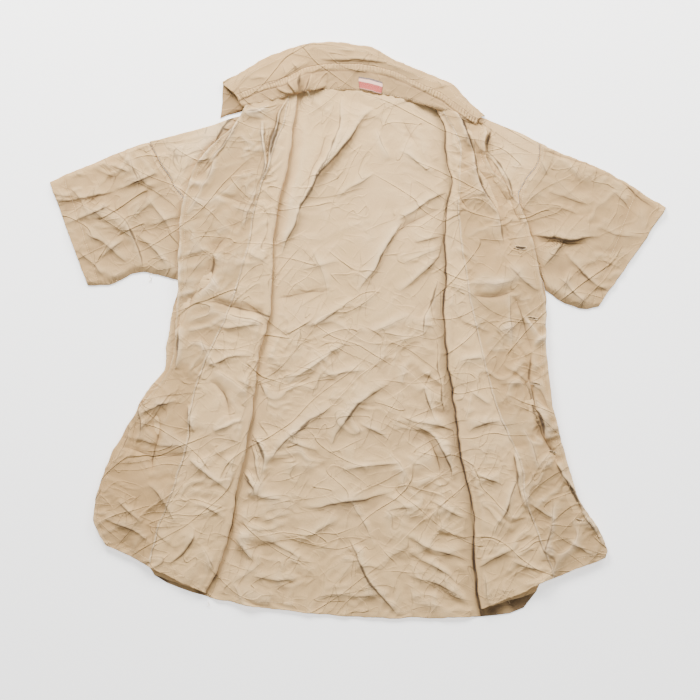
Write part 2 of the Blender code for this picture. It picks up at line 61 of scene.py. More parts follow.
MM = 0.001
CLOTH = 1.2                 # one layer of shirting, with its nap and air
THIN = 0.8                  # the wall drawn here, a little finer than the solid
SEAM_GAP = 0.3
LAYER = CLOTH + SEAM_GAP
FRONT_MID = CLOTH / 2 + LAYER
TURNED_MID = FRONT_MID + 4.8
EDGE_MID = 3.3
ROLL_FADE = 38.0
MIDDLE = (0.0, -1.3)        # the tables' origin, seen from the middle of the shirt
ROWS = 360
print("rows of points from neck to hem:", ROWS)

# %% [markdown]
# A shirt's outline is easiest to keep as sections, as a maker marks a pattern: at each step
# from neck to hem, where the side seam, the fold, the facing's free edge and the front edge
# lie. Smooth curves through the columns give every point in between.

# %% The sections of both fronts
Section = namedtuple("Section", "side_x side_y fold_x fold_y line_x line_y edge_x edge_y roll")
RIGHT_FRONT = [
    Section(-303, 274, -89, 344, -99, 341, -163, 326, 2.6),
    Section(-283, 240, -92, 304, -106, 303, -179, 297, 3.4),
    Section(-264, 209, -100, 268, -119, 271, -205, 273, 4.0),
    Section(-248, 183, -106, 222, -132, 231, -231, 244, 4.0),
    Section(-253, 132, -116, 173, -147, 181, -250, 197, 4.2),
    Section(-259, 74, -121, 123, -158, 128, -259, 138, 4.2),
    Section(-269, 30, -124, 67, -172, 72, -260, 81, 4.4),
    Section(-277, -20, -132, 9, -193, 13, -263, 19, 4.4),
    Section(-282, -57, -143, -35, -216, -32, -266, -30, 4.4),
    Section(-302, -83, -147, -71, -231, -72, -282, -71, 4.4),
    Section(-318, -109, -151, -112, -240, -109, -308, -102, 4.4),
    Section(-332, -158, -158, -158, -247, -160, -344, -154, 4.4),
    Section(-338, -216, -170, -213, -261, -212, -369, -210, 4.2),
    Section(-330, -278, -187, -281, -282, -268, -383, -260, 4.2),
    Section(-316, -319, -202, -336, -295, -310, -379, -285, 3.8),
    Section(-295, -354, -221, -378, -301, -342, -363, -309, 3.4),
]
LEFT_FRONT = [
    Section(261, 274, 105, 334, 116, 330, 174, 301, 2.6),
    Section(259, 245, 120, 304, 129, 303, 185, 291, 3.4),
    Section(243, 219, 127, 273, 146, 273, 182, 264, 4.0),
    Section(232, 190, 127, 239, 145, 238, 194, 233, 4.0),
    Section(243, 132, 133, 209, 145, 206, 223, 199, 4.2),
    Section(271, 57, 124, 158, 145, 155, 245, 149, 4.2),
    Section(269, 19, 126, 100, 152, 97, 259, 94, 4.4),
    Section(268, -20, 126, 38, 162, 38, 271, 36, 4.4),
    Section(269, -64, 129, -20, 176, -20, 271, -23, 4.4),
    Section(272, -104, 136, -86, 192, -86, 277, -83, 4.4),
    Section(277, -146, 146, -144, 214, -145, 288, -141, 4.4),
    Section(281, -190, 150, -191, 233, -190, 301, -188, 4.4),
    Section(284, -238, 162, -236, 240, -239, 317, -238, 4.2),
    Section(282, -286, 166, -289, 256, -286, 340, -277, 4.2),
    Section(277, -326, 169, -344, 272, -326, 359, -312, 3.8),
    Section(259, -378, 178, -403, 282, -357, 358, -329, 3.4),
]
LAST = len(RIGHT_FRONT) - 1
ARMHOLE_SECTIONS = 5
NECK_RISE = 16.0
BACK_HEM = [(-295, -354), (-273, -367), (-244, -377), (-215, -386), (-157, -397), (-85, -407),
            (-12, -413), (60, -416), (118, -416), (176, -415), (220, -409), (242, -400), (259, -378)]
HEM_SECTIONS = 3
SHOULDER_DIP = {"right": 6.0, "left": -3.0}
SHOULDER_SECTIONS = 1.5
print("sections from neck to hem:", len(RIGHT_FRONT))

# %% The sleeves and the collar
SleeveRow = namedtuple("SleeveRow", "top_x top_y low_x low_y")
RIGHT_SLEEVE = [
    SleeveRow(-303, 274, -259, 74),
    SleeveRow(-338, 262, -288, 80),
    SleeveRow(-373, 247, -321, 84),
    SleeveRow(-409, 232, -359, 67),
    SleeveRow(-446, 216, -392, 67),
]
LEFT_SLEEVE = [
    SleeveRow(261, 274, 271, 57),
    SleeveRow(295, 258, 291, 44),
    SleeveRow(336, 242, 313, 35),
    SleeveRow(374, 223, 329, 32),
    SleeveRow(446, 178, 348, 35),
]
CollarRow = namedtuple("CollarRow", "under_x under_y roll_x roll_y seam_x seam_y neck_x neck_y lift")
COLLAR = [
    CollarRow(-199, 309, -196, 360, -176, 340, -167, 324, 10.4),
    CollarRow(-177, 316, -172, 374, -156, 351, -147, 327, 10.6),
    CollarRow(-148, 326, -140, 392, -128, 358, -118, 333, 10.8),
    CollarRow(-119, 337, -106, 406, -100, 368, -96, 340, 11.4),
    CollarRow(-92, 349, -76, 415, -77, 381, -73, 345, 7.4),
    CollarRow(-67, 358, -44, 418, -50, 387, -48, 349, 2.4),
    CollarRow(-29, 364, -12, 415, -16, 387, -18, 348, 2.2),
    CollarRow(8, 364, 20, 410, 16, 384, 17, 345, 2.2),
    CollarRow(40, 359, 50, 394, 46, 377, 45, 339, 2.2),
    CollarRow(66, 352, 82, 381, 74, 365, 71, 332, 3.4),
    CollarRow(89, 343, 114, 367, 100, 354, 95, 326, 9.4),
    CollarRow(108, 337, 139, 355, 120, 344, 116, 320, 11.6),
    CollarRow(127, 332, 152, 340, 137, 331, 133, 315, 11.2),
    CollarRow(146, 325, 168, 325, 155, 318, 152, 306, 10.8),
    CollarRow(165, 316, 183, 310, 172, 306, 169, 297, 10.4),
]
COLLAR_ROLL = 2.6
print("collar rows:", len(COLLAR))

# %% [markdown]
# Three small helpers do all the curve work on whole arrays at once: a straight blend, an
# ease that starts and ends gently, and a smooth curve through equally spaced values.

# %% Curve helpers
def blend(low, high, share):
    return low + (high - low) * share


def ease(start, end, value):
    share = np.clip((value - start) / (end - start), 0.0, 1.0)
    return share * share * (3 - 2 * share)


def curve_through(values, at):
    values = np.asarray(values, dtype=float)
    last = len(values) - 1
    at = np.asarray(at, dtype=float)
    first = np.minimum(at.astype(int), last - 1)
    share = at - first
    before = values[np.maximum(first - 1, 0)]
    start = values[first]
    end = values[first + 1]
    after = values[np.minimum(first + 2, last)]
    rise_start = (end - before) / 2
    rise_end = (after - start) / 2
    square = share * share
    cube = square * share
    return (start * (2 * cube - 3 * square + 1) + rise_start * (cube - 2 * square + share)
            + end * (3 * square - 2 * cube) + rise_end * (cube - square))


def table_at(table, at):
    """Every column of a table as a column of numbers, one for each place asked for."""
    return type(table[0])(*[curve_through(column, at)[:, None] for column in zip(*table)])


def flat_pair(x, y):
    return np.stack([x, y], axis=-1)


# %% [markdown]
# Washed cotton that has been folded away shows creases of every size. A crease is a ridge or
# a trough along a bowed line. It is steep on one side and soft on the other, and it dies out
# at both ends. The left and right widths are as seen when looking from its first end to its
# second. A minus height makes a trough. The tables hold the creases that anyone would
# recognise in this shirt.

# %% The main creases
Crease = namedtuple("Crease", "x0 y0 x1 y1 bow height left right")
BACK_CREASES = [
    Crease(23, 323, -118, 107, -13, 7.0, 5, 20),
    Crease(-18, 339, -93, 158, 9, 4.0, 12, 5),
    Crease(-40, 302, -85, 175, 0, -2.0, 6, 8),
    Crease(26, 294, 43, 248, 0, 2.4, 6, 10),
    Crease(69, 162, 1, 58, -3, 4.5, 4, 12),
    Crease(121, 122, 55, 58, 9, 3.4, 4, 11),
    Crease(60, 162, 133, 202, 4, 3.2, 8, 4),
    Crease(58, 144, 127, 181, 3, -2.2, 5, 6),
    Crease(78, 130, 127, 135, 0, 2.6, 8, 3),
    Crease(63, 100, 127, 117, 3, 2.2, 6, 4),
    Crease(95, -6, 118, 74, 0, 4.2, 5, 12),
    Crease(104, 45, 118, 1, 0, -2.5, 6, 6),
    Crease(43, -71, -44, -167, -6, 4.4, 5, 14),
    Crease(85, -135, 136, -219, 12, 6.0, 12, 5),
    Crease(63, -119, 145, -145, -4, 3.6, 8, 4),
    Crease(101, -158, 113, -207, 4, -3.0, 5, 6),
    Crease(-140, -191, -38, -109, 4, 4.2, 10, 5),
    Crease(-160, -233, -108, -236, -4, 3.0, 8, 4),
    Crease(-18, -300, 62, -410, -7, 4.2, 8, 4),
    Crease(-3, -332, -41, -376, 0, 2.4, 5, 8),
    Crease(-163, -352, -85, -361, 0, 3.0, 8, 4),
    Crease(72, -294, 159, -335, -4, 3.2, 8, 4),
    Crease(66, -349, 159, -381, -3, 3.0, 8, 4),
    Crease(-85, -254, 52, -225, -9, 3.6, 12, 5),
    Crease(-76, 1, -6, 46, 0, 3.0, 9, 5),
    Crease(-102, -71, -16, -20, 0, 3.4, 10, 6),
    Crease(-121, 48, -35, 57, 0, -2.8, 6, 8),
    Crease(-108, -158, -58, -175, 0, 2.6, 7, 4),
    Crease(-27, -202, 60, -190, 4, 3.0, 8, 5),
    Crease(-90, -303, -27, -274, 0, 2.8, 8, 4),
    Crease(-145, -303, -85, -326, 4, 3.0, 8, 5),
    Crease(-61, -390, 46, -378, 3, 2.6, 8, 4),
    Crease(104, -245, 159, -274, 0, 3.0, 8, 4),
    Crease(43, -260, 89, -245, 0, 2.6, 6, 4),
    Crease(2, -129, 49, -158, 0, 2.6, 8, 4),
    Crease(-56, -71, 11, -59, 4, 2.6, 9, 5),
    Crease(20, 1, 75, 22, 0, 2.2, 8, 5),
    Crease(-67, 117, -41, 45, 4, 2.2, 8, 5),
    Crease(-27, 190, 20, 233, 0, 2.4, 8, 5),
    Crease(58, 262, 104, 225, 3, 2.2, 8, 5),
    Crease(66, 306, 89, 262, 0, -1.8, 6, 6),
    Crease(-85, 88, -27, 100, 0, 1.8, 7, 4),
    Crease(89, -59, 130, -88, 3, 2.8, 8, 4),
    Crease(-12, -245, 20, -303, 4, 2.6, 6, 4),
    Crease(-140, -274, -99, -262, 0, 2.6, 6, 4),
    Crease(-183, -364, -140, -332, 0, 2.8, 6, 4),
    Crease(118, -376, 174, -390, 0, 2.4, 6, 4),
    Crease(75, -317, 157, -368, -4, 3.4, 7, 3),
    Crease(113, -283, 160, -308, 0, 3.0, 6, 3),
    Crease(112, -14, 131, -123, -3, 4.0, 7, 3),
    Crease(92, -77, 118, -142, 3, 3.2, 7, 4),
    Crease(-147, -67, -130, -91, 0, 5.0, 4, 3),
    Crease(-155, -132, -138, -212, 5, 5.0, 4, 3),
    Crease(-157, -138, -140, -220, -3, 4.0, 4, 3),
    Crease(-168, -198, -156, -218, 0, 5.0, 4, 3),
    Crease(-168, -208, -150, -236, 2, 4.0, 5, 3),
    Crease(-178, -300, -158, -330, 2, 4.0, 5, 3),
]
RIGHT_FRONT_CREASES = [
    Crease(-189, 135, -212, 106, 0, -2.5, 4, 7),
    Crease(-212, 109, -235, 51, 7, -6.0, 4, 8),
    Crease(-234, 59, -267, 1, 4, -5.0, 4, 7),
    Crease(-218, 39, -102, 13, 7, -4.2, 5, 4),
    Crease(-215, 25, -114, 1, 6, 2.6, 5, 10),
    Crease(-221, 86, -203, 59, 0, 2.4, 5, 8),
    Crease(-100, 338, -139, 210, -6, 4.5, 3, 9),
    Crease(-103, 336, -142, 210, -6, -4.5, 2, 5),
    Crease(-139, 306, -141, 214, 2, 4.0, 8, 3),
    Crease(-136, 304, -138, 216, 2, -3.5, 5, 2),
    Crease(-126, 330, -163, 318, 3, 3.5, 6, 4),
    Crease(-164, 322, -210, 268, -5, 5.0, 4, 8),
    Crease(-140, 233, -163, 146, 0, 2.4, 5, 8),
    Crease(-172, 303, -230, 225, 4, 3.8, 8, 4),
    Crease(-183, 286, -235, 219, 6, -3.0, 5, 7),
    Crease(-206, 251, -247, 170, 3, 2.8, 6, 4),
    Crease(-151, 183, -206, 196, 3, -1.8, 4, 5),
    Crease(-221, -48, -154, -35, 0, 2.8, 6, 4),
    Crease(-218, -74, -180, -130, 7, -3.0, 5, 5),
    Crease(-230, -13, -206, -57, 0, 2.4, 5, 7),
    Crease(-348, -162, -247, -183, -4, -2.4, 4, 4),
    Crease(-340, -146, -253, -167, -4, 2.2, 8, 4),
    Crease(-258, 8, -267, -52, 2, 5.5, 6, 2),
    Crease(-243, -106, -236, -148, -2, 4.5, 5, 3),
    Crease(-248, -184, -186, -229, -4, 3.4, 8, 4),
    Crease(-317, -117, -261, -97, 0, 3.0, 6, 4),
    Crease(-290, -117, -299, -204, 0, -4.0, 4, 5),
    Crease(-331, -129, -357, -202, 4, 2.6, 6, 5),
    Crease(-279, -335, -235, -284, -7, 3.4, 7, 4),
    Crease(-346, -245, -314, -277, 0, 2.8, 6, 4),
    Crease(-198, 1, -137, 13, 0, 2.4, 6, 4),
    Crease(-302, -216, -264, -274, 6, 2.6, 6, 4),
    Crease(-366, -274, -302, -303, 3, 2.6, 8, 4),
    Crease(-317, -158, -314, -100, 0, 3.0, 5, 7),
    Crease(-208, -144, -163, -129, 0, 2.6, 6, 4),
    Crease(-235, -252, -189, -274, 3, 2.8, 6, 4),
    Crease(-230, -310, -208, -361, 3, 2.8, 5, 6),
    Crease(-177, -71, -140, -86, 0, 2.4, 6, 4),
    Crease(-163, 117, -128, 100, 0, 2.0, 6, 4),
    Crease(-183, 178, -140, 170, 0, 1.8, 5, 4),
]
LEFT_FRONT_CREASES = [
    Crease(132, 335, 166, 240, 6, 5.5, 2, 12),
    Crease(135, 333, 169, 238, 6, -4.5, 7, 2),
    Crease(163, 262, 199, 172, -4, 5.5, 2, 11),
    Crease(166, 262, 202, 173, -4, -4.5, 7, 2),
    Crease(196, 182, 208, 130, 0, 3.5, 3, 8),
    Crease(187, 298, 184, 258, -2, 5.0, 2, 9),
    Crease(190, 298, 187, 258, -2, -3.5, 6, 2),
    Crease(183, 264, 227, 192, 8, 5.0, 3, 10),
    Crease(180, 262, 224, 188, 8, -3.0, 3, 6),
    Crease(145, 322, 158, 268, 3, 3.5, 5, 5),
    Crease(203, 213, 234, 152, 3, -2.4, 5, 8),
    Crease(168, 55, 229, 58, -3, -3.4, 6, 5),
    Crease(162, 71, 234, 74, 0, 2.4, 9, 5),
    Crease(220, 59, 217, -22, 0, 2.2, 3, 5),
    Crease(220, -22, 185, -28, 0, 1.6, 3, 3),
    Crease(142, 204, 162, 170, 0, -2.4, 5, 5),
    Crease(229, 49, 246, -30, 3, -3.2, 4, 6),
    Crease(245, -30, 265, -146, -4, -5.4, 4, 8),
    Crease(261, -129, 287, -196, -3, -5.2, 5, 6),
    Crease(281, -190, 327, -271, 4, 5.4, 9, 3),
    Crease(324, -265, 356, -312, 3, 3.6, 6, 4),
    Crease(140, -45, 188, -38, 0, 2.4, 6, 4),
    Crease(203, -75, 249, -70, 0, 2.6, 6, 4),
    Crease(171, -342, 229, -307, 0, 3.0, 7, 4),
    Crease(191, -293, 234, -197, -4, 3.4, 7, 5),
    Crease(217, 100, 266, 55, -4, 2.6, 6, 4),
    Crease(182, -347, 192, -394, 0, 2.6, 5, 5),
    Crease(147, 16, 185, 1, 0, 2.0, 8, 4),
    Crease(156, -144, 205, -126, 3, 2.8, 8, 4),
    Crease(174, -202, 211, -219, 0, 3.0, 6, 4),
    Crease(234, -144, 258, -202, 3, 3.0, 5, 6),
    Crease(287, -245, 263, -332, 4, 3.0, 6, 5),
    Crease(301, -303, 336, -326, 0, 2.6, 6, 4),
    Crease(220, -326, 263, -347, 0, 2.8, 6, 4),
    Crease(249, -245, 292, -274, 0, 2.8, 7, 4),
    Crease(139, 117, 176, 100, 0, 1.6, 6, 4),
    Crease(197, 1, 229, 13, 0, 2.0, 6, 4),
    Crease(165, -88, 194, -106, 0, 2.4, 6, 4),
    Crease(130, 277, 150, 248, 0, 2.4, 4, 5),
    Crease(226, -170, 235, -222, -3, 5.0, 7, 2),
    Crease(234, -218, 247, -264, 2, 4.0, 7, 2),
    Crease(258, -112, 270, -160, 5, 6.0, 8, 2),
]
RIGHT_SLEEVE_CREASES = [
    Crease(-373, 184, -314, 91, 13, 4.4, 6, 12),
    Crease(-440, 194, -346, 204, -6, 3.4, 9, 4),
    Crease(-424, 158, -354, 186, -4, 3.2, 9, 4),
    Crease(-348, 204, -288, 231, 0, 3.0, 7, 4),
    Crease(-308, 155, -253, 170, 0, 2.6, 6, 4),
    Crease(-395, 144, -334, 103, -4, 3.4, 8, 4),
    Crease(-418, 210, -386, 170, 3, 2.6, 6, 4),
    Crease(-334, 262, -317, 213, 0, 2.8, 5, 7),
    Crease(-380, 100, -343, 132, 0, 2.6, 6, 4),
    Crease(-325, 144, -279, 100, 3, 3.0, 6, 4),
    Crease(-302, 196, -270, 138, 3, 2.6, 6, 4),
    Crease(-406, 117, -369, 80, 0, 2.4, 6, 4),
    Crease(-363, 239, -328, 233, 0, 2.4, 6, 4),
]
LEFT_SLEEVE_CREASES = [
    Crease(263, 258, 350, 233, 3, -2.8, 4, 4),
    Crease(350, 233, 437, 171, 6, -2.8, 4, 4),
    Crease(258, 248, 272, 225, 0, 2.2, 4, 4),
    Crease(246, 144, 353, 136, -9, 4.8, 8, 4),
    Crease(258, 129, 336, 123, 0, -3.0, 4, 5),
    Crease(265, 91, 304, 135, 0, 3.8, 6, 4),
    Crease(298, 112, 368, 58, -6, 3.6, 8, 4),
    Crease(275, 204, 336, 183, -4, 2.2, 7, 4),
    Crease(348, 148, 411, 138, 0, 2.0, 7, 4),
    Crease(287, 74, 327, 45, 0, 3.0, 5, 4),
    Crease(350, 109, 382, 91, 0, 2.4, 6, 4),
    Crease(278, 181, 321, 167, 0, 1.8, 6, 4),
    Crease(365, 204, 408, 167, 3, 1.8, 8, 4),
    Crease(310, 91, 292, 51, 0, 2.6, 5, 4),
]
COLLAR_CREASES = [
    Crease(-73, 392, -147, 354, 7, 3.0, 7, 4),
    Crease(-56, 396, 40, 392, -4, 2.6, 5, 3),
    Crease(-85, 378, -99, 393, 0, 2.4, 4, 4),
    Crease(-161, 365, -131, 367, 0, 1.6, 5, 3),
    Crease(39, 407, 52, 384, 3, 1.8, 4, 4),
    Crease(107, 364, 124, 347, 0, 1.8, 4, 4),
    Crease(-111, 390, -99, 370, 0, 1.6, 4, 4),
    Crease(-32, 407, -9, 402, 0, 1.4, 5, 4),
    Crease(-87, 340, -98, 367, 3, 4.5, 2, 5),
    Crease(-76, 340, -66, 370, -3, 4.5, 2, 5),
    Crease(-84, 342, -82, 374, 0, 4.0, 3, 3),
    Crease(-90, 340, -118, 356, 4, 3.5, 3, 6),
    Crease(-72, 341, -44, 356, -3, 3.5, 6, 3),
    Crease(-84, 345, -74, 345, 0, -6.0, 4, 4),
    Crease(-12, 373, 14, 378, 0, 1.2, 4, 3),
    Crease(55, 370, 89, 352, 0, 1.6, 4, 3),
]
print("creases placed by hand:", sum(map(len, (BACK_CREASES, RIGHT_FRONT_CREASES, LEFT_FRONT_CREASES,
                                               RIGHT_SLEEVE_CREASES, LEFT_SLEEVE_CREASES, COLLAR_CREASES))))

# %% [markdown]
# The relief of a table of creases is a sum, so crossing creases add up. The square root
# rounds the sharp top of each ridge by about a millimetre, as a thread-thick cloth does.

# %% Relief from creases
CREASE_ROUND = 0.8          # radius of the sharpest crease


def crease_frame(x, y, crease):
    """How far each place lies to the left of a crease, and how strong the crease is there."""
    run_x = crease.x1 - crease.x0
    run_y = crease.y1 - crease.y0
    length = math.hypot(run_x, run_y)
    away_x = x - crease.x0
    away_y = y - crease.y0
    inside = np.clip((away_x * run_x + away_y * run_y) / length ** 2, 0.0, 1.0)
    off = (away_y * run_x - away_x * run_y) / length - 4 * crease.bow * inside * (1 - inside)
    return off, np.sin(math.pi * inside) ** 0.6


def crease_relief(x, y, creases):
    total = np.zeros_like(x)
    for crease in creases:
        off, taper = crease_frame(x, y, crease)
        lopsided = (crease.left / crease.right) ** 0.6
        width = np.where(off > 0, crease.left * lopsided, crease.right / lopsided)
        far = np.sqrt(off * off + CREASE_ROUND ** 2) - CREASE_ROUND
        total += 1.2 * crease.height * taper * np.exp(-far / (width * (0.5 + 0.5 * taper)))
    return total


# %% [markdown]
# Between the main creases the cloth is crumpled all over. A cotton sheet that has been
# squeezed breaks into small flat facets with sharp folds between them, because cloth bends
# easily but hardly stretches. So the crumple is a net of triangles with a random height at
# each corner. The net is stretched along one direction, since creases run longer than they
# are wide, and it is warped by a smooth noise so that no two facets are alike. Five nets of
# falling size and different directions are added together. The seeds are fixed, so the same
# crumple comes back each time.

# %% A seeded crumple
TABLE = 64


def smooth_noise(x, y, cell, seed):
    """Random values from -1 to 1 on a square net, blended smoothly between the corners."""
    values = np.random.RandomState(seed).uniform(-1, 1, (TABLE, TABLE))
    u = x / cell + 1000
    v = y / cell + 1000
    i = np.floor(u).astype(int)
    j = np.floor(v).astype(int)
    fu = ease(0, 1, u - i)
    fv = ease(0, 1, v - j)
    i0, i1, j0, j1 = i % TABLE, (i + 1) % TABLE, j % TABLE, (j + 1) % TABLE
    return blend(blend(values[i0, j0], values[i1, j0], fu), blend(values[i0, j1], values[i1, j1], fu), fv)


def facet_net(x, y, long_side, short_side, turn, seed):
    """Heights from -1 to 1, flat over each triangle of a warped net."""
    draw = np.random.RandomState(seed)
    values = draw.uniform(-1, 1, (TABLE, TABLE))
    values = 1.25 * values * np.abs(values)
    flips = draw.rand(TABLE, TABLE) < 0.5
    warp = 0.55 * short_side
    bent_x = x + warp * smooth_noise(x, y, 1.7 * short_side, seed + 1)
    bent_y = y + warp * smooth_noise(x, y, 1.7 * short_side, seed + 2)
    angle = math.radians(turn) + 0.35 * smooth_noise(x, y, 170.0, seed + 3)
    u = (bent_x * np.cos(angle) + bent_y * np.sin(angle)) / long_side + 500
    v = (bent_y * np.cos(angle) - bent_x * np.sin(angle)) / short_side + 500
    i = np.floor(u).astype(int)
    j = np.floor(v).astype(int)
    fu = u - i
    fv = v - j
    i0, i1, j0, j1 = i % TABLE, (i + 1) % TABLE, j % TABLE, (j + 1) % TABLE
    a, b, c, d = values[i0, j0], values[i1, j0], values[i0, j1], values[i1, j1]
    one_way = np.where(fu > fv, a + fu * (b - a) + fv * (d - b), a + fv * (c - a) + fu * (d - c))
    other_way = np.where(fu + fv < 1, a + fu * (b - a) + fv * (c - a),
                         d + (1 - fu) * (c - d) + (1 - fv) * (b - d))
    return np.where(flips[i0, j0], one_way, other_way)


Net = namedtuple("Net", "long_side short_side turn height")
NETS = [
    Net(120, 54, 38, 2.6),
    Net(64, 27, -30, 1.7),
    Net(36, 15, 10, 1.0),
    Net(20, 8, 62, 0.5),
    Net(12, 5, -10, 0.25),
]
Run = namedtuple("Run", "length width turn height shown")
RUNS = [
    Run(150, 40, 40, 2.4, 0.16),
    Run(120, 34, -28, 2.0, 0.20),
    Run(105, 27, 8, 1.8, 0.18),
    Run(80, 20, 62, 1.4, 0.22),
    Run(66, 16, 30, 1.2, 0.16),
    Run(54, 13, -14, 1.0, 0.20),
]


def run_value(x, y, run, key):
    angle = math.radians(run.turn)
    along = (x * math.cos(angle) + y * math.sin(angle)) / run.length
    across = (y * math.cos(angle) - x * math.sin(angle)) / run.width
    across = across + 0.5 * smooth_noise(x, y, 1.1 * run.width, key + 1)
    return smooth_noise(along, across, 1.0, key) + 0.35 * smooth_noise(along * 2.3, across * 1.7, 1.0, key + 2)


def long_crease(x, y, run, key):
    """How far each place lies from a long curved crease, and how strong the crease is there."""
    here = run_value(x, y, run, key)
    slope = np.hypot(run_value(x + 1, y, run, key) - here, run_value(x, y + 1, run, key) - here)
    kept = ease(run.shown, run.shown + 0.3, smooth_noise(x, y, 0.7 * run.length, key + 3))
    return here / (slope + 0.25 / run.width), kept


def long_creases(x, y, seed):
    total = np.zeros_like(x)
    for number, run in enumerate(RUNS):
        off, kept = long_crease(x, y, run, seed + 60 + 10 * number)
        far = np.sqrt(off * off + CREASE_ROUND ** 2) - CREASE_ROUND
        total += run.height * kept * np.exp(-far / np.where(off > 0, 2.0, 0.28 * run.width))
    return total


def strongest_line(lines, x):
    """Of several painted shade lines, keep the one that matters most at each place."""
    nearest = np.full_like(x, 9.0)
    dark = np.zeros_like(x)
    strongest = np.zeros_like(x)
    for off, deep in lines:
        strength = deep * np.exp(-(off / 4.0) ** 2)
        nearest = np.where(strength > strongest, off, nearest)
        dark = np.where(strength > strongest, deep, dark)
        strongest = np.maximum(strength, strongest)
    return nearest, dark


def crease_shade_lines(x, y, creases, seed, crumpled=1.0):
    """Painted shade lines at the feet of creases: how far off the nearest lies, and how dark it is.
    Ridges from the crease table are kept apart from valleys and random creases."""
    bent_x, bent_y = waver(x, y)
    ridges = []
    valleys = []
    for crease in creases:
        off, taper = crease_frame(bent_x, bent_y, crease)
        deep = taper * min(1.0, abs(crease.height) / 4.6)
        if crease.height > 0:
            ridges.append((off - 1.5 * np.sign(crease.right - crease.left), deep))
        else:
            valleys.append((off, deep))
    for number, run in enumerate(RUNS):
        off, kept = long_crease(x, y, run, seed + 60 + 10 * number)
        valleys.append((off - 1.5, crumpled * kept * min(0.36, run.height / 6)))
    return (*strongest_line(ridges, x), *strongest_line(valleys, x))


def crumple_relief(x, y, seed):
    total = np.zeros_like(x)
    worn = 1.0 + 0.5 * ease(190, 250, x) * ease(120, -40, y) + 0.25 * ease(285, 310, np.abs(x)) * ease(20, 60, y)
    for number, net in enumerate(NETS):
        key = seed + 10 * number
        busy = 0.3 + 1.3 * (0.5 + 0.5 * smooth_noise(x, y, 1.6 * net.long_side, key + 5)) ** 1.5
        total += net.height * busy * facet_net(x, y, net.long_side, net.short_side, net.turn, key)
    return (total + long_creases(x, y, seed)) * worn


def waver(x, y):
    """Bend straight lines slightly, so that no crease looks ruled."""
    shift_x = 2.6 * np.sin(y / 23.0 + 1.3 * np.sin(x / 41.0)) + 1.2 * np.sin(y / 9.5 + x / 17.0)
    shift_y = 2.6 * np.sin(x / 27.0 + 1.1 * np.sin(y / 37.0)) + 1.2 * np.sin(x / 11.0 - y / 19.0)
    return x + shift_x, y + shift_y


def cloth_relief(x, y, creases, seed, crumpled=1.0):
    bent_x, bent_y = waver(x, y)
    return crease_relief(bent_x, bent_y, creases) + crumpled * crumple_relief(x, y, seed)


def soft_floor(height, floor):
    """Keep a height above a floor, rounding where it would go through."""
    return floor + np.logaddexp(0.0, 1.6 * (height - floor)) / 1.6


# %% [markdown]
# Every piece is a closed wall: two skins with the same rows and columns, joined round the
# border. Blender could add the second skin with a Solidify modifier. Making both here keeps
# full control of how far apart neighbouring pieces lie. Each point also stores a tone, from
# how high it stands over the cloth around it: ridges get a painted highlight, and valleys
# painted shade.

# %% Walls and their tone
def smoothed(values, reach, times=2):
    """A running mean over rows and columns."""
    for _ in range(times):
        for axis in (0, 1):
            padded = np.concatenate([np.repeat(values.take([0], axis), reach, axis), values,
                                     np.repeat(values.take([-1], axis), reach, axis)], axis)
            total = np.cumsum(padded, axis)
            width = 2 * reach
            count = values.shape[axis]
            upper = total.take(range(width, width + count), axis)
            lower = np.concatenate([np.zeros_like(total.take([0], axis)),
                                    total.take(range(count - 1), axis)], axis)
            values = (upper - lower) / (width + 1)
    return values


# Painted light and shade: a point standing above the cloth around it gets a paler tone, a point in a valley a darker
# one.
def painted_relief_shade(height, reach=5):
    detail = height - smoothed(height, reach)
    broad = height - smoothed(height, reach * 4)
    return np.clip(0.54 + 0.15 * detail + 0.02 * broad, 0.2, 1.0)


def border_of(rows, columns):
    first = np.arange(columns)
    right = np.arange(1, rows) * columns + columns - 1
    last = (rows - 1) * columns + np.arange(columns - 2, -1, -1)
    left = np.arange(rows - 2, 0, -1) * columns
    return np.concatenate([first, right, last, left])


def edge_waver(x, y):
    """Shift every piece alike by a millimetre or two, since no laid-out edge is quite even."""
    wide = [1.3 * smooth_noise(x, y, 26.0, key) + 0.7 * smooth_noise(x, y, 11.0, key + 1)
            + 0.4 * smooth_noise(x, y, 5.0, key + 2) for key in (301, 311)]
    return np.stack(wide, axis=-1)


SHADE_LINES = ("ridge_off", "ridge_shade", "valley_off", "valley_shade")


def make_piece(name, points, faces, material, tone=None, stain=None, marks=(None,) * 4):
    mesh = bpy.data.meshes.new(name)
    placed = np.asarray(points, dtype=float).reshape(-1, 3) + np.array([MIDDLE[0], MIDDLE[1], 0.0])
    placed[:, :2] += edge_waver(placed[:, 0], placed[:, 1])
    mesh.vertices.add(len(placed))
    mesh.vertices.foreach_set("co", (placed * MM).ravel())
    faces = np.asarray(faces)
    corners = faces.shape[1]
    mesh.loops.add(faces.size)
    mesh.loops.foreach_set("vertex_index", faces.ravel())
    mesh.polygons.add(len(faces))
    mesh.polygons.foreach_set("loop_start", np.arange(len(faces)) * corners)
    mesh.polygons.foreach_set("loop_total", np.full(len(faces), corners))
    mesh.update(calc_edges=True)
    mesh.validate()
    for label, values in (("tone", tone), ("stain", stain), *zip(SHADE_LINES, marks)):
        layer = mesh.attributes.new(label, "FLOAT", "POINT")
        if values is None:
            values = np.full(len(placed), 0.5 if label == "tone" else 0.0)
        layer.data.foreach_set("value", np.asarray(values, dtype=float).ravel())
    mesh.materials.append(material)
    mesh.shade_smooth()
    piece = bpy.data.objects.new(name, mesh)
    bpy.context.collection.objects.link(piece)
    return piece


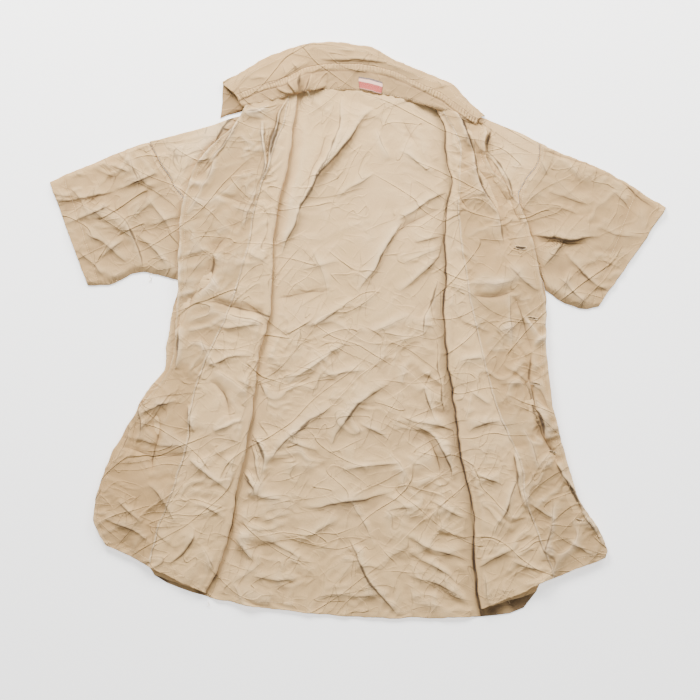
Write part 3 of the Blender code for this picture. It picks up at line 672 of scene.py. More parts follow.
def wall_faces(rows, columns):
    """Quads of both skins and of the border between them, facing out where Z is up."""
    grid = np.arange(rows * columns).reshape(rows, columns)
    a = grid[:-1, :-1].ravel()
    b = grid[:-1, 1:].ravel()
    c = grid[1:, 1:].ravel()
    d = grid[1:, :-1].ravel()
    step = rows * columns
    under = np.stack([a, b, c, d], axis=1)
    over = np.stack([a, d, c, b], axis=1) + step
    ring = border_of(rows, columns)
    after = np.roll(ring, -1)
    side = np.stack([ring, ring + step, after + step, after], axis=1)
    return np.concatenate([under, over, side])


def make_wall(name, under, over, material, tone, stain=None, marks=None):
    rows, columns = under.shape[:2]
    faces = wall_faces(rows, columns)
    across = over[rows // 2, columns // 2 + 1] - over[rows // 2, columns // 2]
    down = over[rows // 2 + 1, columns // 2] - over[rows // 2, columns // 2]
    if across[0] * down[1] - across[1] * down[0] > 0:
        faces = faces[:, ::-1]
    both = np.concatenate([under.reshape(-1, 3), over.reshape(-1, 3)])
    tones = np.concatenate([tone.ravel(), tone.ravel()])
    stains = None if stain is None else np.concatenate([stain.ravel(), stain.ravel()])
    both_marks = (None,) * 4 if marks is None else [np.concatenate([m.ravel(), m.ravel()]) for m in marks]
    return make_piece(name, both, faces, material, tones, stains, both_marks)


def skin_normals(grid):
    down = np.gradient(grid, axis=0)
    across = np.gradient(grid, axis=1)
    normal = np.cross(down, across)
    return normal / np.maximum(np.linalg.norm(normal, axis=-1, keepdims=True), 1e-9)


def lifted(grid, height):
    moved = grid.copy()
    moved[..., 2] += height
    return moved


# %% [markdown]
# Khaki drill is a plain weave of tan yarns, faded where sun and washing reached it. Its colour
# comes from the tone of each point, which holds painted light and shade: a painted highlight on
# ridges, painted shade in valleys and painted shadow in the gaps under the folds. Painted shade
# lines darken the feet of creases too. A broad stain where the cloth has yellowed, and two sizes
# of noise, are added. The weave is far finer than a pixel in the picture, so a bump from two
# stretched noises stands for the warp and the weft, and shows only when the camera comes close.
# The sheen is the short nap of worn cotton.

# %% The cloth's finish
def new_material(name, roughness):
    material = bpy.data.materials.new(name)
    material.use_nodes = True
    shader = material.node_tree.nodes["Principled BSDF"]
    shader.inputs["Roughness"].default_value = roughness
    return material, material.node_tree, shader


def attribute_node(tree, label):
    node = tree.nodes.new("ShaderNodeAttribute")
    node.attribute_name = label
    return node


def noise_node(tree, place, scale, detail, roughness=0.55):
    node = tree.nodes.new("ShaderNodeTexNoise")
    node.noise_dimensions = "2D"
    node.inputs["Scale"].default_value = scale
    node.inputs["Detail"].default_value = detail
    node.inputs["Roughness"].default_value = roughness
    tree.links.new(place, node.inputs["Vector"])
    return node


def mix_colour(tree, factor, first, second, mode="MIX"):
    node = tree.nodes.new("ShaderNodeMix")
    node.data_type = "RGBA"
    node.blend_type = mode
    for socket, value in (("Factor", factor), ("A", first), ("B", second)):
        target = [s for s in node.inputs if s.name == socket and s.enabled][0]
        if isinstance(value, (float, int, tuple)):
            target.default_value = value
        else:
            tree.links.new(value, target)
    return [s for s in node.outputs if s.enabled][0]


def scaled_range(tree, value, low, high, to_low, to_high):
    node = tree.nodes.new("ShaderNodeMapRange")
    tree.links.new(value, node.inputs["Value"])
    for socket, number in zip(("From Min", "From Max", "To Min", "To Max"), (low, high, to_low, to_high)):
        node.inputs[socket].default_value = number
    return node.outputs["Result"]


def level_ramp(tree, value, stops):
    node = tree.nodes.new("ShaderNodeValToRGB")
    while len(node.color_ramp.elements) < len(stops):
        node.color_ramp.elements.new(0.5)
    for element, (place, level) in zip(node.color_ramp.elements, stops):
        element.position = place
        element.color = (level, level, level, 1.0)
    tree.links.new(value, node.inputs["Fac"])
    return node.outputs["Color"]


def maths(tree, operation, first, second=0.0, third=0.0, clamped=False):
    node = tree.nodes.new("ShaderNodeMath")
    node.operation = operation
    node.use_clamp = clamped
    for socket, value in zip(node.inputs, (first, second, third)):
        if isinstance(value, float):
            socket.default_value = value
        else:
            tree.links.new(value, socket)
    return node.outputs[0]


def long_lines(tree, place, stretch, turn, cell, shift):
    """Fine curved creases where a stretched noise passes its middle: their height, and the painted shade at each one's
    foot.
    """
    mapping = tree.nodes.new("ShaderNodeMapping")
    mapping.vector_type = "TEXTURE"
    mapping.inputs["Location"].default_value = (shift, -shift, 0.0)
    mapping.inputs["Rotation"].default_value = (0.0, 0.0, math.radians(turn))
    mapping.inputs["Scale"].default_value = (stretch, 1.0, 1.0)
    tree.links.new(place, mapping.inputs["Vector"])
    node = noise_node(tree, mapping.outputs["Vector"], 1 / cell, 0.5, 0.35)
    rise = level_ramp(tree, node.outputs["Fac"], ((0.488, 0.0), (0.503, 1.0), (0.535, 0.45), (0.62, 0.0)))
    foot = level_ramp(tree, node.outputs["Fac"], ((0.476, 0.0), (0.490, 1.0), (0.500, 0.0)))
    patch = noise_node(tree, mapping.outputs["Vector"], 0.55 / cell, 0.0).outputs["Fac"]
    kept = scaled_range(tree, patch, 0.52, 0.66, 0.0, 1.0)
    return maths(tree, "MULTIPLY", rise, kept), maths(tree, "MULTIPLY", foot, kept)


def ridged_noise(tree, place, stretch, turn, scale):
    """Soft cells with sharp crests between them, longer along one direction."""
    mapping = tree.nodes.new("ShaderNodeMapping")
    mapping.vector_type = "TEXTURE"
    mapping.inputs["Rotation"].default_value = (0.0, 0.0, math.radians(turn))
    mapping.inputs["Scale"].default_value = (1 / stretch, 1.0, 1.0)
    tree.links.new(place, mapping.inputs["Vector"])
    node = noise_node(tree, mapping.outputs["Vector"], scale, 1.5, 0.6)
    node.noise_type = "RIDGED_MULTIFRACTAL"
    node.inputs["Offset"].default_value = 0.9
    node.inputs["Gain"].default_value = 1.0
    node.inputs["Distortion"].default_value = 0.4
    crest = scaled_range(tree, node.outputs["Fac"], 0.75, 1.9, 0.0, 1.0)
    patch = noise_node(tree, place, scale * 0.3, 1.0).outputs["Fac"]
    both = tree.nodes.new("ShaderNodeMath")
    both.operation = "MULTIPLY"
    tree.links.new(crest, both.inputs[0])
    tree.links.new(scaled_range(tree, patch, 0.38, 0.62, 0.1, 1.0), both.inputs[1])
    return both.outputs[0]


def bump_node(tree, height, strength, distance):
    node = tree.nodes.new("ShaderNodeBump")
    node.invert = strength < 0
    node.inputs["Strength"].default_value = abs(strength)
    node.inputs["Distance"].default_value = distance
    tree.links.new(height, node.inputs["Height"])
    return node


def added(tree, first, second, share=1.0):
    node = tree.nodes.new("ShaderNodeMath")
    node.operation = "MULTIPLY_ADD"
    tree.links.new(second, node.inputs[0])
    node.inputs[1].default_value = share
    tree.links.new(first, node.inputs[2])
    return node.outputs[0]


FINE_LINES = [(4.0, 41.0, 0.036), (3.6, -27.0, 0.028), (3.6, 8.0, 0.022), (3.0, 64.0, 0.017)]
# The near black of painted shadow in the narrowest gaps and crease feet.
DEEPEST_SHADOW = (0.050, 0.028, 0.014, 1.0)


def cloth_material(name, dark, middle, pale, stained):
    material, tree, shader = new_material(name, 0.88)
    shader.inputs["Sheen Weight"].default_value = 0.06
    shader.inputs["Sheen Roughness"].default_value = 0.6
    shader.inputs["Specular IOR Level"].default_value = 0.22
    place = tree.nodes.new("ShaderNodeTexCoord").outputs["Object"]
    # The tone carries painted light and shade: low tones go towards DARK, high ones towards PALE.
    tone = attribute_node(tree, "tone").outputs["Fac"]
    below = scaled_range(tree, tone, 0.0, 0.5, 0.0, 1.0)
    above = scaled_range(tree, tone, 0.5, 1.0, 0.0, 1.0)
    colour = mix_colour(tree, below, dark, middle)
    colour = mix_colour(tree, above, colour, pale)
    stain = attribute_node(tree, "stain").outputs["Fac"]
    colour = mix_colour(tree, stain, colour, stained)
    broad = noise_node(tree, place, 9.0, 3.0).outputs["Fac"]
    colour = mix_colour(tree, scaled_range(tree, broad, 0.35, 0.68, 0.0, 0.34), colour, stained)
    patchy = noise_node(tree, place, 24.0, 2.0).outputs["Fac"]
    colour = mix_colour(tree, scaled_range(tree, patchy, 0.40, 0.66, 0.0, 0.20), colour, stained)
    fleck = noise_node(tree, place, 420.0, 2.0).outputs["Fac"]
    colour = mix_colour(tree, scaled_range(tree, fleck, 0.3, 0.7, 0.0, 0.10), colour, dark)
    ridges = added(tree, ridged_noise(tree, place, 0.5, 52.0, 30.0), ridged_noise(tree, place, 0.5, -28.0, 55.0), 0.6)
    fine = None
    feet = None
    for number, (stretch, turn, cell) in enumerate(FINE_LINES):
        rise, foot = long_lines(tree, place, stretch, turn, cell, 0.37 * number)
        fine = rise if fine is None else added(tree, fine, rise, cell / FINE_LINES[0][2])
        feet = foot if feet is None else added(tree, feet, foot)
    # Painted shade at the foot of each fine crease.
    colour = mix_colour(tree, scaled_range(tree, feet, 0.0, 1.0, 0.0, 0.26), colour, dark)
    uneven = scaled_range(tree, noise_node(tree, place, 34.0, 1.0).outputs["Fac"], 0.35, 0.62, 0.8, 1.7)
    # Painted shade lines at the feet of the creases and along the gaps under the folds.
    for off_label, shade_label in (SHADE_LINES[:2], SHADE_LINES[2:]):
        off = maths(tree, "ABSOLUTE", attribute_node(tree, off_label).outputs["Fac"])
        deep = maths(tree, "MULTIPLY", attribute_node(tree, shade_label).outputs["Fac"], uneven)
        line = maths(tree, "MULTIPLY_ADD", off, -0.52, deep, clamped=True)
        colour = mix_colour(tree, maths(tree, "MULTIPLY", line, 0.82), colour, DEEPEST_SHADOW)
    # Painted shadow: where the tone falls to its lowest, in the gaps under the folds, the colour turns near black.
    colour = mix_colour(tree, scaled_range(tree, tone, 0.02, 0.17, 0.9, 0.0), colour, DEEPEST_SHADOW)
    tree.links.new(colour, shader.inputs["Base Color"])
    crease = bump_node(tree, fine, 1.0, 0.0016)
    wrinkle = bump_node(tree, ridges, 1.0, 0.0018)
    tree.links.new(wrinkle.outputs["Normal"], crease.inputs["Normal"])
    weave = None
    for stretch in ((1500.0, 170.0, 400.0), (170.0, 1500.0, 400.0)):
        mapping = tree.nodes.new("ShaderNodeMapping")
        mapping.inputs["Scale"].default_value = stretch
        tree.links.new(place, mapping.inputs["Vector"])
        yarn = noise_node(tree, mapping.outputs["Vector"], 1.0, 1.0).outputs["Fac"]
        weave = yarn if weave is None else added(tree, weave, yarn)
    grain = bump_node(tree, weave, 0.4, 0.0003)
    tree.links.new(crease.outputs["Normal"], grain.inputs["Normal"])
    tree.links.new(grain.outputs["Normal"], shader.inputs["Normal"])
    return material


# DARK is the colour of painted shade in valleys, crease feet and fold gaps, and of small flecks in the weave; PALE is
# the colour of the painted highlight on ridges.
DARK = (0.270, 0.165, 0.075, 1.0)
MIDDLE_TONE = (0.600, 0.396, 0.194, 1.0)
PALE = (0.710, 0.518, 0.298, 1.0)
YELLOWED = (0.560, 0.365, 0.160, 1.0)
TAN = (0.450, 0.275, 0.115, 1.0)
inside_cloth = cloth_material("khaki_inside", DARK, MIDDLE_TONE, PALE, YELLOWED)
outside_cloth = cloth_material("khaki_outside", DARK, (0.430, 0.280, 0.130, 1.0), (0.54, 0.38, 0.205, 1.0), TAN)
facing_cloth = cloth_material("khaki_facing", DARK, (0.450, 0.295, 0.138, 1.0), (0.70, 0.525, 0.32, 1.0), TAN)
print("cloth finishes:", inside_cloth.name, outside_cloth.name, facing_cloth.name)

# %% [markdown]
# ## The back
# The back is one panel from the collar to the curved hem, and its inside faces up between the
# folded fronts. It lies flat under the fronts and rises in creases only where it shows, so its
# columns of points are packed in the middle and few at the sides.

# %% Plan of the back
SIDE_COLUMNS = 4
MIDDLE_COLUMNS = 126


def shoulder_line(side, fold, share, dip, at):
    """Places between the side and the fold; near the top the shoulder line sags."""
    place = side + (fold - side) * share[None, :, None]
    sag = dip * 4 * share[None, :] * (1 - share[None, :]) * (1 - ease(0, SHOULDER_SECTIONS, at))[:, None]
    place[..., 1] -= sag
    return place


def corner(x, y):
    return np.concatenate([x, y], axis=1)[:, None, :]


def straight_back(at):
    right = table_at(RIGHT_FRONT, at)
    left = table_at(LEFT_FRONT, at)
    right_fold = corner(right.fold_x, right.fold_y)
    left_fold = corner(left.fold_x, left.fold_y)
    sides = np.arange(SIDE_COLUMNS) / SIDE_COLUMNS
    middle = np.linspace(0, 1, MIDDLE_COLUMNS)
    open_part = right_fold + (left_fold - right_fold) * middle[None, :, None]
    rise = NECK_RISE * (1 - ease(0, 3, at))[:, None] * np.minimum(1.0, 4.6 * middle * (1 - middle))
    open_part[..., 1] += rise
    right_part = shoulder_line(corner(right.side_x, right.side_y), right_fold, sides,
                               SHOULDER_DIP["right"], at)
    left_part = shoulder_line(corner(left.side_x, left.side_y), left_fold, sides,
                              SHOULDER_DIP["left"], at)[:, ::-1]
    return np.concatenate([right_part, open_part, left_part], axis=1)


def back_plan(at):
    plan = straight_back(at)
    end = straight_back(np.array([float(LAST)]))[0]
    hem = np.interp(end[:, 0], [x for x, _ in BACK_HEM], [y for _, y in BACK_HEM])
    plan[..., 1] += (hem - end[:, 1])[None, :] * ease(LAST - HEM_SECTIONS, LAST, at)[:, None]
    return plan


# %% The back's relief
def fold_wobble(down, seed):
    """A pressed fold wanders by a few millimetres on its way down."""
    return 3.0 * smooth_noise(down, down * 0, 38.0, seed + 7) + 0.9 * smooth_noise(down, down * 0, 14.0, seed + 8)


def zone(y, middle, reach):
    return np.exp(-((y - middle) / reach) ** 2)


BACK_LIFT = 2.4             # how high the open cloth floats over the surface on its creases


def back_calm(y):
    """The back is smoothest under the neck."""
    return 0.36 + 0.64 * ease(130.0, -70.0, y)


def inside_folds(x):
    """How far each place lies inside the right fold and inside the left fold."""
    right = x - x[:, SIDE_COLUMNS, None] - fold_wobble(table_at(RIGHT_FRONT, station).fold_y, 23)
    left = x[:, -SIDE_COLUMNS - 1, None] + fold_wobble(table_at(LEFT_FRONT, station).fold_y, 37) - x
    return right, left


def fold_shadow_lines(plan, nearest, dark, *others):
    """The gap under each fold is painted as a dark shadow line, strongest on the left."""
    y = plan[..., 1]
    right, left = inside_folds(plan[..., 0])
    right_dark = 0.2 + 0.5 * zone(y, -80, 13) + 0.7 * zone(y, -262, 46) + 0.3 * zone(y, 30, 40) + 0.5 * zone(y, -362, 24)
    left_dark = 0.75 + 0.25 * smooth_noise(y * 0, y, 40.0, 93)
    for inside, strength in ((right, right_dark), (left, left_dark)):
        near = inside < 5.0
        nearest = np.where(near, np.maximum(inside, 0.0), nearest)
        dark = np.where(near, strength, dark)
    return (nearest, dark, *others)


def back_heights(plan):
    x = plan[..., 0]
    y = plan[..., 1]
    right_inside, left_inside = inside_folds(x)
    inside = np.minimum(right_inside, left_inside)
    shows = ease(4.0, 20.0, inside)
    calm = back_calm(y)
    relief = cloth_relief(x, y, BACK_CREASES, 11, calm)
    height = soft_floor(BACK_LIFT + relief, 0.25) * shows
    # Painted shadow beside each fold: a narrow dark line in the gap under it and a broader dim band on the back,
    # stronger in some stretches.
    reach = 1.0 + 0.6 * smooth_noise(x * 0.3, y, 24.0, 91)
    right_gap = (0.16 + 0.6 * zone(y, -262, 46) + 0.5 * zone(y, -362, 26)) * zone(right_inside, 0, 1.6 * reach)
    right_dim = (0.12 + 0.22 * zone(y, 60, 70) + 0.4 * zone(y, -150, 46)) * zone(right_inside, 0, 11)
    left_gap = 0.95 * zone(left_inside, 0, 2.4 * reach)
    left_dim = (0.22 + 0.42 * zone(y, -90, 80) + 0.34 * zone(y, -325, 75)) * zone(left_inside, 0, 22)
    shadow = 1 - (1 - right_gap) * (1 - right_dim) * (1 - left_gap) * (1 - left_dim)
    return height, relief * shows, shadow


station = np.linspace(0, LAST, ROWS)
plan = back_plan(station)
height, relief, shadow = back_heights(plan)
under = np.concatenate([plan, height[..., None]], axis=-1)
back_top = lifted(under, THIN)
yellowing = 0.28 * ease(-150, -400, plan[..., 1])
back_shade_lines = fold_shadow_lines(plan, *crease_shade_lines(plan[..., 0], plan[..., 1], BACK_CREASES, 11, back_calm(plan[..., 1])))
back = make_wall("back_inside", under, back_top, inside_cloth, painted_relief_shade(relief) * (1 - shadow), yellowing, back_shade_lines)
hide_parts("back")
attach(back, "root")
print("back:", len(back.data.polygons), "faces")

# %% [markdown]
# ## The fronts
# Each front comes in from the side seam with its outside up, turns over along the fold, and
# goes back out with its inside up. One wall follows that whole way. Its creases run on under
# the facing, so both pieces read their height from one function.

# %% A front's wall
LOWER_COLUMNS = 22
ROLL_COLUMNS = 10
INSIDE_COLUMNS = 74
TUCKED_COLUMNS = 6
FACING_COLUMNS = 60
FRONT_LIFT = 3.2


class FrontCloth:
    """The heights and plan of one front, shared by its wall, its facing and its stitches."""

    def __init__(self, table, creases, dip, seed):
        self.table = table
        self.creases = creases
        self.dip = dip
        self.row = table_at(table, station)
        self.side = corner(self.row.side_x, self.row.side_y)
        self.fold = corner(self.row.fold_x, self.row.fold_y)
        wobble = fold_wobble(self.row.fold_y, seed)
        self.fold[..., 0] += wobble * ease(0.4, 2.0, station)[:, None] * ease(LAST, LAST - 0.8, station)[:, None]
        self.line = corner(self.row.line_x, self.row.line_y)
        self.edge = corner(self.row.edge_x, self.row.edge_y)
        away = self.fold - self.side
        self.inward = away / np.linalg.norm(away, axis=-1, keepdims=True)
        self.start = self.fold - self.inward * self.row.roll[:, :, None]
        self.seed = seed

    def hem_bend(self, place, at_end):
        return place

    def turned(self, place):
        """The middle height of the turned-back half over places in plan."""
        x = place[..., 0]
        y = place[..., 1]
        from_fold = np.linalg.norm(place - self.start, axis=-1)
        rolled = FRONT_MID + 2 * self.row.roll
        height = blend(rolled, TURNED_MID + FRONT_LIFT, ease(0, ROLL_FADE, from_fold))
        beyond = np.abs(x) - np.abs(self.row.side_x)
        below_arm = (station > ARMHOLE_SECTIONS)[:, None]
        height = np.where(below_arm, blend(height, EDGE_MID + FRONT_LIFT, ease(4, 34, beyond)), height)
        open_part = ease(0.0, 0.4, station)[:, None] * ease(1, 9, from_fold)
        near_line = ease(0.0, 6.0, station * 48)[:, None]
        relief = cloth_relief(x, y, self.creases, self.seed, 0.9) * open_part * near_line
        floor = np.where(below_arm, blend(TURNED_MID, EDGE_MID, ease(4, 34, beyond)), TURNED_MID) - 0.2
        return soft_floor(height + relief, floor), relief

    def lower(self):
        share = (np.arange(LOWER_COLUMNS + 1) / LOWER_COLUMNS) ** 1.35
        place = shoulder_line(self.side, self.start, share, self.dip, station)
        order = np.argsort(self.row.edge_y[:, 0])
        edge_x = np.interp(place[..., 1], self.row.edge_y[order, 0], self.row.edge_x[order, 0])
        outside = ease(0, 12, np.abs(place[..., 0]) - np.abs(edge_x))
        relief = cloth_relief(place[..., 0], place[..., 1], self.creases, self.seed, 0.8)
        rise = outside * np.clip(1.0 + 0.8 * relief, 0.0, 5.0)
        return place, FRONT_MID + rise, rise

    def roll_over(self):
        turn = math.pi * np.arange(1, ROLL_COLUMNS) / ROLL_COLUMNS
        roll = self.row.roll
        place = self.start + self.inward * (roll * np.sin(turn)[None, :])[:, :, None]
        return place, FRONT_MID + roll * (1 - np.cos(turn))[None, :]

    def marks(self, place):
        return crease_shade_lines(place[..., 0], place[..., 1], self.creases, self.seed)

    def between(self, first, last, shares):
        return first + (last - first) * shares[None, :, None]


# Painted light and shade on each fold's roll: the tone of the roll where the fold gapes and of the three columns beyond
# it (a pale painted highlight on the right, painted shadow on the left), the pale painted tone where the fold lies
# closed, how far the right's highlight dims where it gapes, and how dark the painted shadow line along the fold is.
ROLL_PAINTED_TONE = {"right": (0.10, 0.80, 0.95, 0.85), "left": (0.0, 0.0, 0.04, 0.30)}
ROLL_CLOSED_HIGHLIGHT = 0.85
ROLL_SHADE = {"right": 0.4, "left": 0.0}
ROLL_GAP_SHADOW = {"right": 0.70, "left": 0.85}


def fold_open(side, y):
    """How far the fold gapes at each row, which sets how much shadow is painted along it: along its whole length on the
    left, in places on the right.
    """
    if side == "left":
        return y * 0 + 1
    places = zone(y, -80, 13) + 0.5 * zone(y, -150, 30) + zone(y, -262, 46) + zone(y, -362, 24) + 0.4 * zone(y, 30, 30)
    return np.clip(places * (0.55 + 0.75 * smooth_noise(y * 0, y, 14.0, 95)) + 0.08, 0, 1)


def front_wall(name, cloth, node, side):
    lower_place, lower_height, lower_relief = cloth.lower()
    roll_place, roll_height = cloth.roll_over()
    inside_place = cloth.between(cloth.start, cloth.line, np.arange(INSIDE_COLUMNS + 1) / INSIDE_COLUMNS)
    tucked_place = cloth.between(cloth.line, cloth.edge, (np.arange(1, TUCKED_COLUMNS + 1) / TUCKED_COLUMNS) ** 2)
    inside_height, inside_relief = cloth.turned(inside_place)
    tucked_height, tucked_relief = cloth.turned(tucked_place)
    tucked_height = np.minimum(tucked_height, tucked_height * 0 + inside_height[:, -1:] + 2) - 1.0
    place = np.concatenate([lower_place, roll_place, inside_place, tucked_place], axis=1)
    height = np.concatenate([lower_height, roll_height, inside_height, tucked_height], axis=1)
    relief = np.concatenate([lower_relief, roll_height * 0, inside_relief, tucked_relief * 0], axis=1)
    mid = np.concatenate([place, height[..., None]], axis=-1)
    normal = skin_normals(mid)
    if normal[ROWS // 2, -1, 2] < 0:
        normal = -normal
    under = mid - normal * THIN / 2
    over = mid + normal * THIN / 2
    tone = painted_relief_shade(relief)
    # Painted shade on the fold's roll: a dark painted shadow line where the fold gapes, and the columns beside it
    # painted pale on the right and dark on the left.
    middle = LOWER_COLUMNS + ROLL_COLUMNS // 2
    gape = fold_open(side, place[:, middle, 1])[:, None]
    closed = max(ROLL_CLOSED_HIGHLIGHT, ROLL_PAINTED_TONE[side][0])
    tone[:, LOWER_COLUMNS + 1:middle + 1] = ROLL_PAINTED_TONE[side][0] * gape + closed * (1 - gape)
    tone[:, middle + 1:middle + 4] = np.array(ROLL_PAINTED_TONE[side][1:]) * (1 - ROLL_SHADE[side] * gape)
    nearest, dark, *others = cloth.marks(place)
    nearest[:, LOWER_COLUMNS + 1:middle + 2] = 0.0
    dark[:, LOWER_COLUMNS + 1:middle + 2] = ROLL_GAP_SHADOW[side] * gape
    nearest[:, middle + 2:middle + 7] = 9.0
    # A painted shadow line beside the facing's free edge, where the facing's edge throws its shadow.
    beside = LOWER_COLUMNS + ROLL_COLUMNS + INSIDE_COLUMNS
    to_line = np.linalg.norm(place[:, beside - 4:beside + 1] - cloth.line, axis=-1)
    nearest[:, beside - 4:beside + 1] = to_line
    dark[:, beside - 4:beside + 1] = 0.46 + 0.28 * smooth_noise(to_line * 0, place[:, beside - 4:beside + 1, 1], 45.0, cloth.seed)
    piece = make_wall(name, under, over, inside_cloth, tone, patch_stain(place), (nearest, dark, *others))
    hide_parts(node)
    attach(piece, "root")
    first = LOWER_COLUMNS + ROLL_COLUMNS
    return piece, over, over[:, first:first + INSIDE_COLUMNS + 1]


def patch_stain(place):
    """A small tan rectangle by the left front's upper fold, and yellowing towards the hems."""
    x = place[..., 0]
    y = place[..., 1]
    patch = ease(0, 2, x - 147) * ease(0, 2, 165 - x) * ease(0, 2, y - 163) * ease(0, 2, 203 - y)
    low = ease(-120, -330, y) * 0.3
    return np.maximum(0.9 * patch, low)


def stain_of(side, place):
    """Where the facing is tan: its lower part, with a clear upper border, and on the left also its upper part."""
    x = place[..., 0]
    y = place[..., 1]
    border = -24.0 if side == "left" else -50.0
    wavy = border + 5 * np.sin(x / 16.0) + 3 * np.sin(x / 7.0)
    amount = 0.50 + 0.25 * np.sin(y / 61.0 + x / 43.0)
    if side == "left":
        amount = 0.10 + 0.40 * ease(-150, -30, y)
        return np.maximum(ease(6, -6, y - wavy) * amount, 0.4 * ease(40, 110, y))
    return ease(6, -6, y - wavy) * amount


def facing_strip(name, cloth, node, side):
    """The facing lies on the turned-back half, from its free edge to the front edge."""
    place = cloth.between(cloth.line, cloth.edge, np.arange(FACING_COLUMNS + 1) / FACING_COLUMNS)
    height, relief = cloth.turned(place)
    width = np.linalg.norm(cloth.edge - cloth.line, axis=-1)
    from_line = width * (np.arange(FACING_COLUMNS + 1) / FACING_COLUMNS)[None, :]
    from_edge = width - from_line
    welt = 0.75 * np.exp(-(from_line / 2.0) ** 2) + 0.35 * np.exp(-(from_edge / 3.0) ** 2)
    seam = -0.35 * np.exp(-((from_edge - 7.0) / 1.2) ** 2)
    flush = 1.05 * (1 - ease(0.0, 4.0, from_line))
    raised = height + CLOTH / 2 + SEAM_GAP - 0.3 - flush + welt + seam
    under = np.concatenate([place, raised[..., None]], axis=-1)
    over = lifted(under, THIN)
    # Painted light and shade: a painted highlight along the raised free edge and front edge, painted shade in the
    # seam's groove and in the relief's valleys.
    tone = np.clip(painted_relief_shade(relief + 2 * seam) + 0.9 * welt, 0, 1)
    stain = stain_of(side, place) * ease(0.5, 3.0, from_line)
    nearest, dark, *others = cloth.marks(place)
    dark = dark * ease(0.5, 3.0, from_line)
    piece = make_wall(name, under, over, facing_cloth, tone, stain, (nearest, dark, *others))
    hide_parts(node)
    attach(piece, "root")
    return piece, over


right_cloth = FrontCloth(RIGHT_FRONT, RIGHT_FRONT_CREASES, SHOULDER_DIP["right"], 23)
left_cloth = FrontCloth(LEFT_FRONT, LEFT_FRONT_CREASES, SHOULDER_DIP["left"], 37)
right_front, right_front_top, right_inside_top = front_wall("right_front_cloth", right_cloth, "right_front", "right")
left_front, left_front_top, left_inside_top = front_wall("left_front_cloth", left_cloth, "left_front", "left")
right_facing, right_facing_top = facing_strip("right_facing_strip", right_cloth, "right_facing", "right")
left_facing, left_facing_top = facing_strip("left_facing_strip", left_cloth, "left_facing", "left")
print("fronts:", len(right_front.data.polygons) + len(left_front.data.polygons), "faces")

# %% [markdown]
# ## The sleeves
# A short sleeve laid down is a tube pressed flat. Rings of points run round it from the
# armhole to the cuff, an outer skin and an inner one, open at both ends. Only its upper side
# is creased, because the lower one rests on the floor.

# %% Sleeves
SLEEVE_STATIONS = 84
SLEEVE_SHARES = 84
SLEEVE_RIM = 2.5


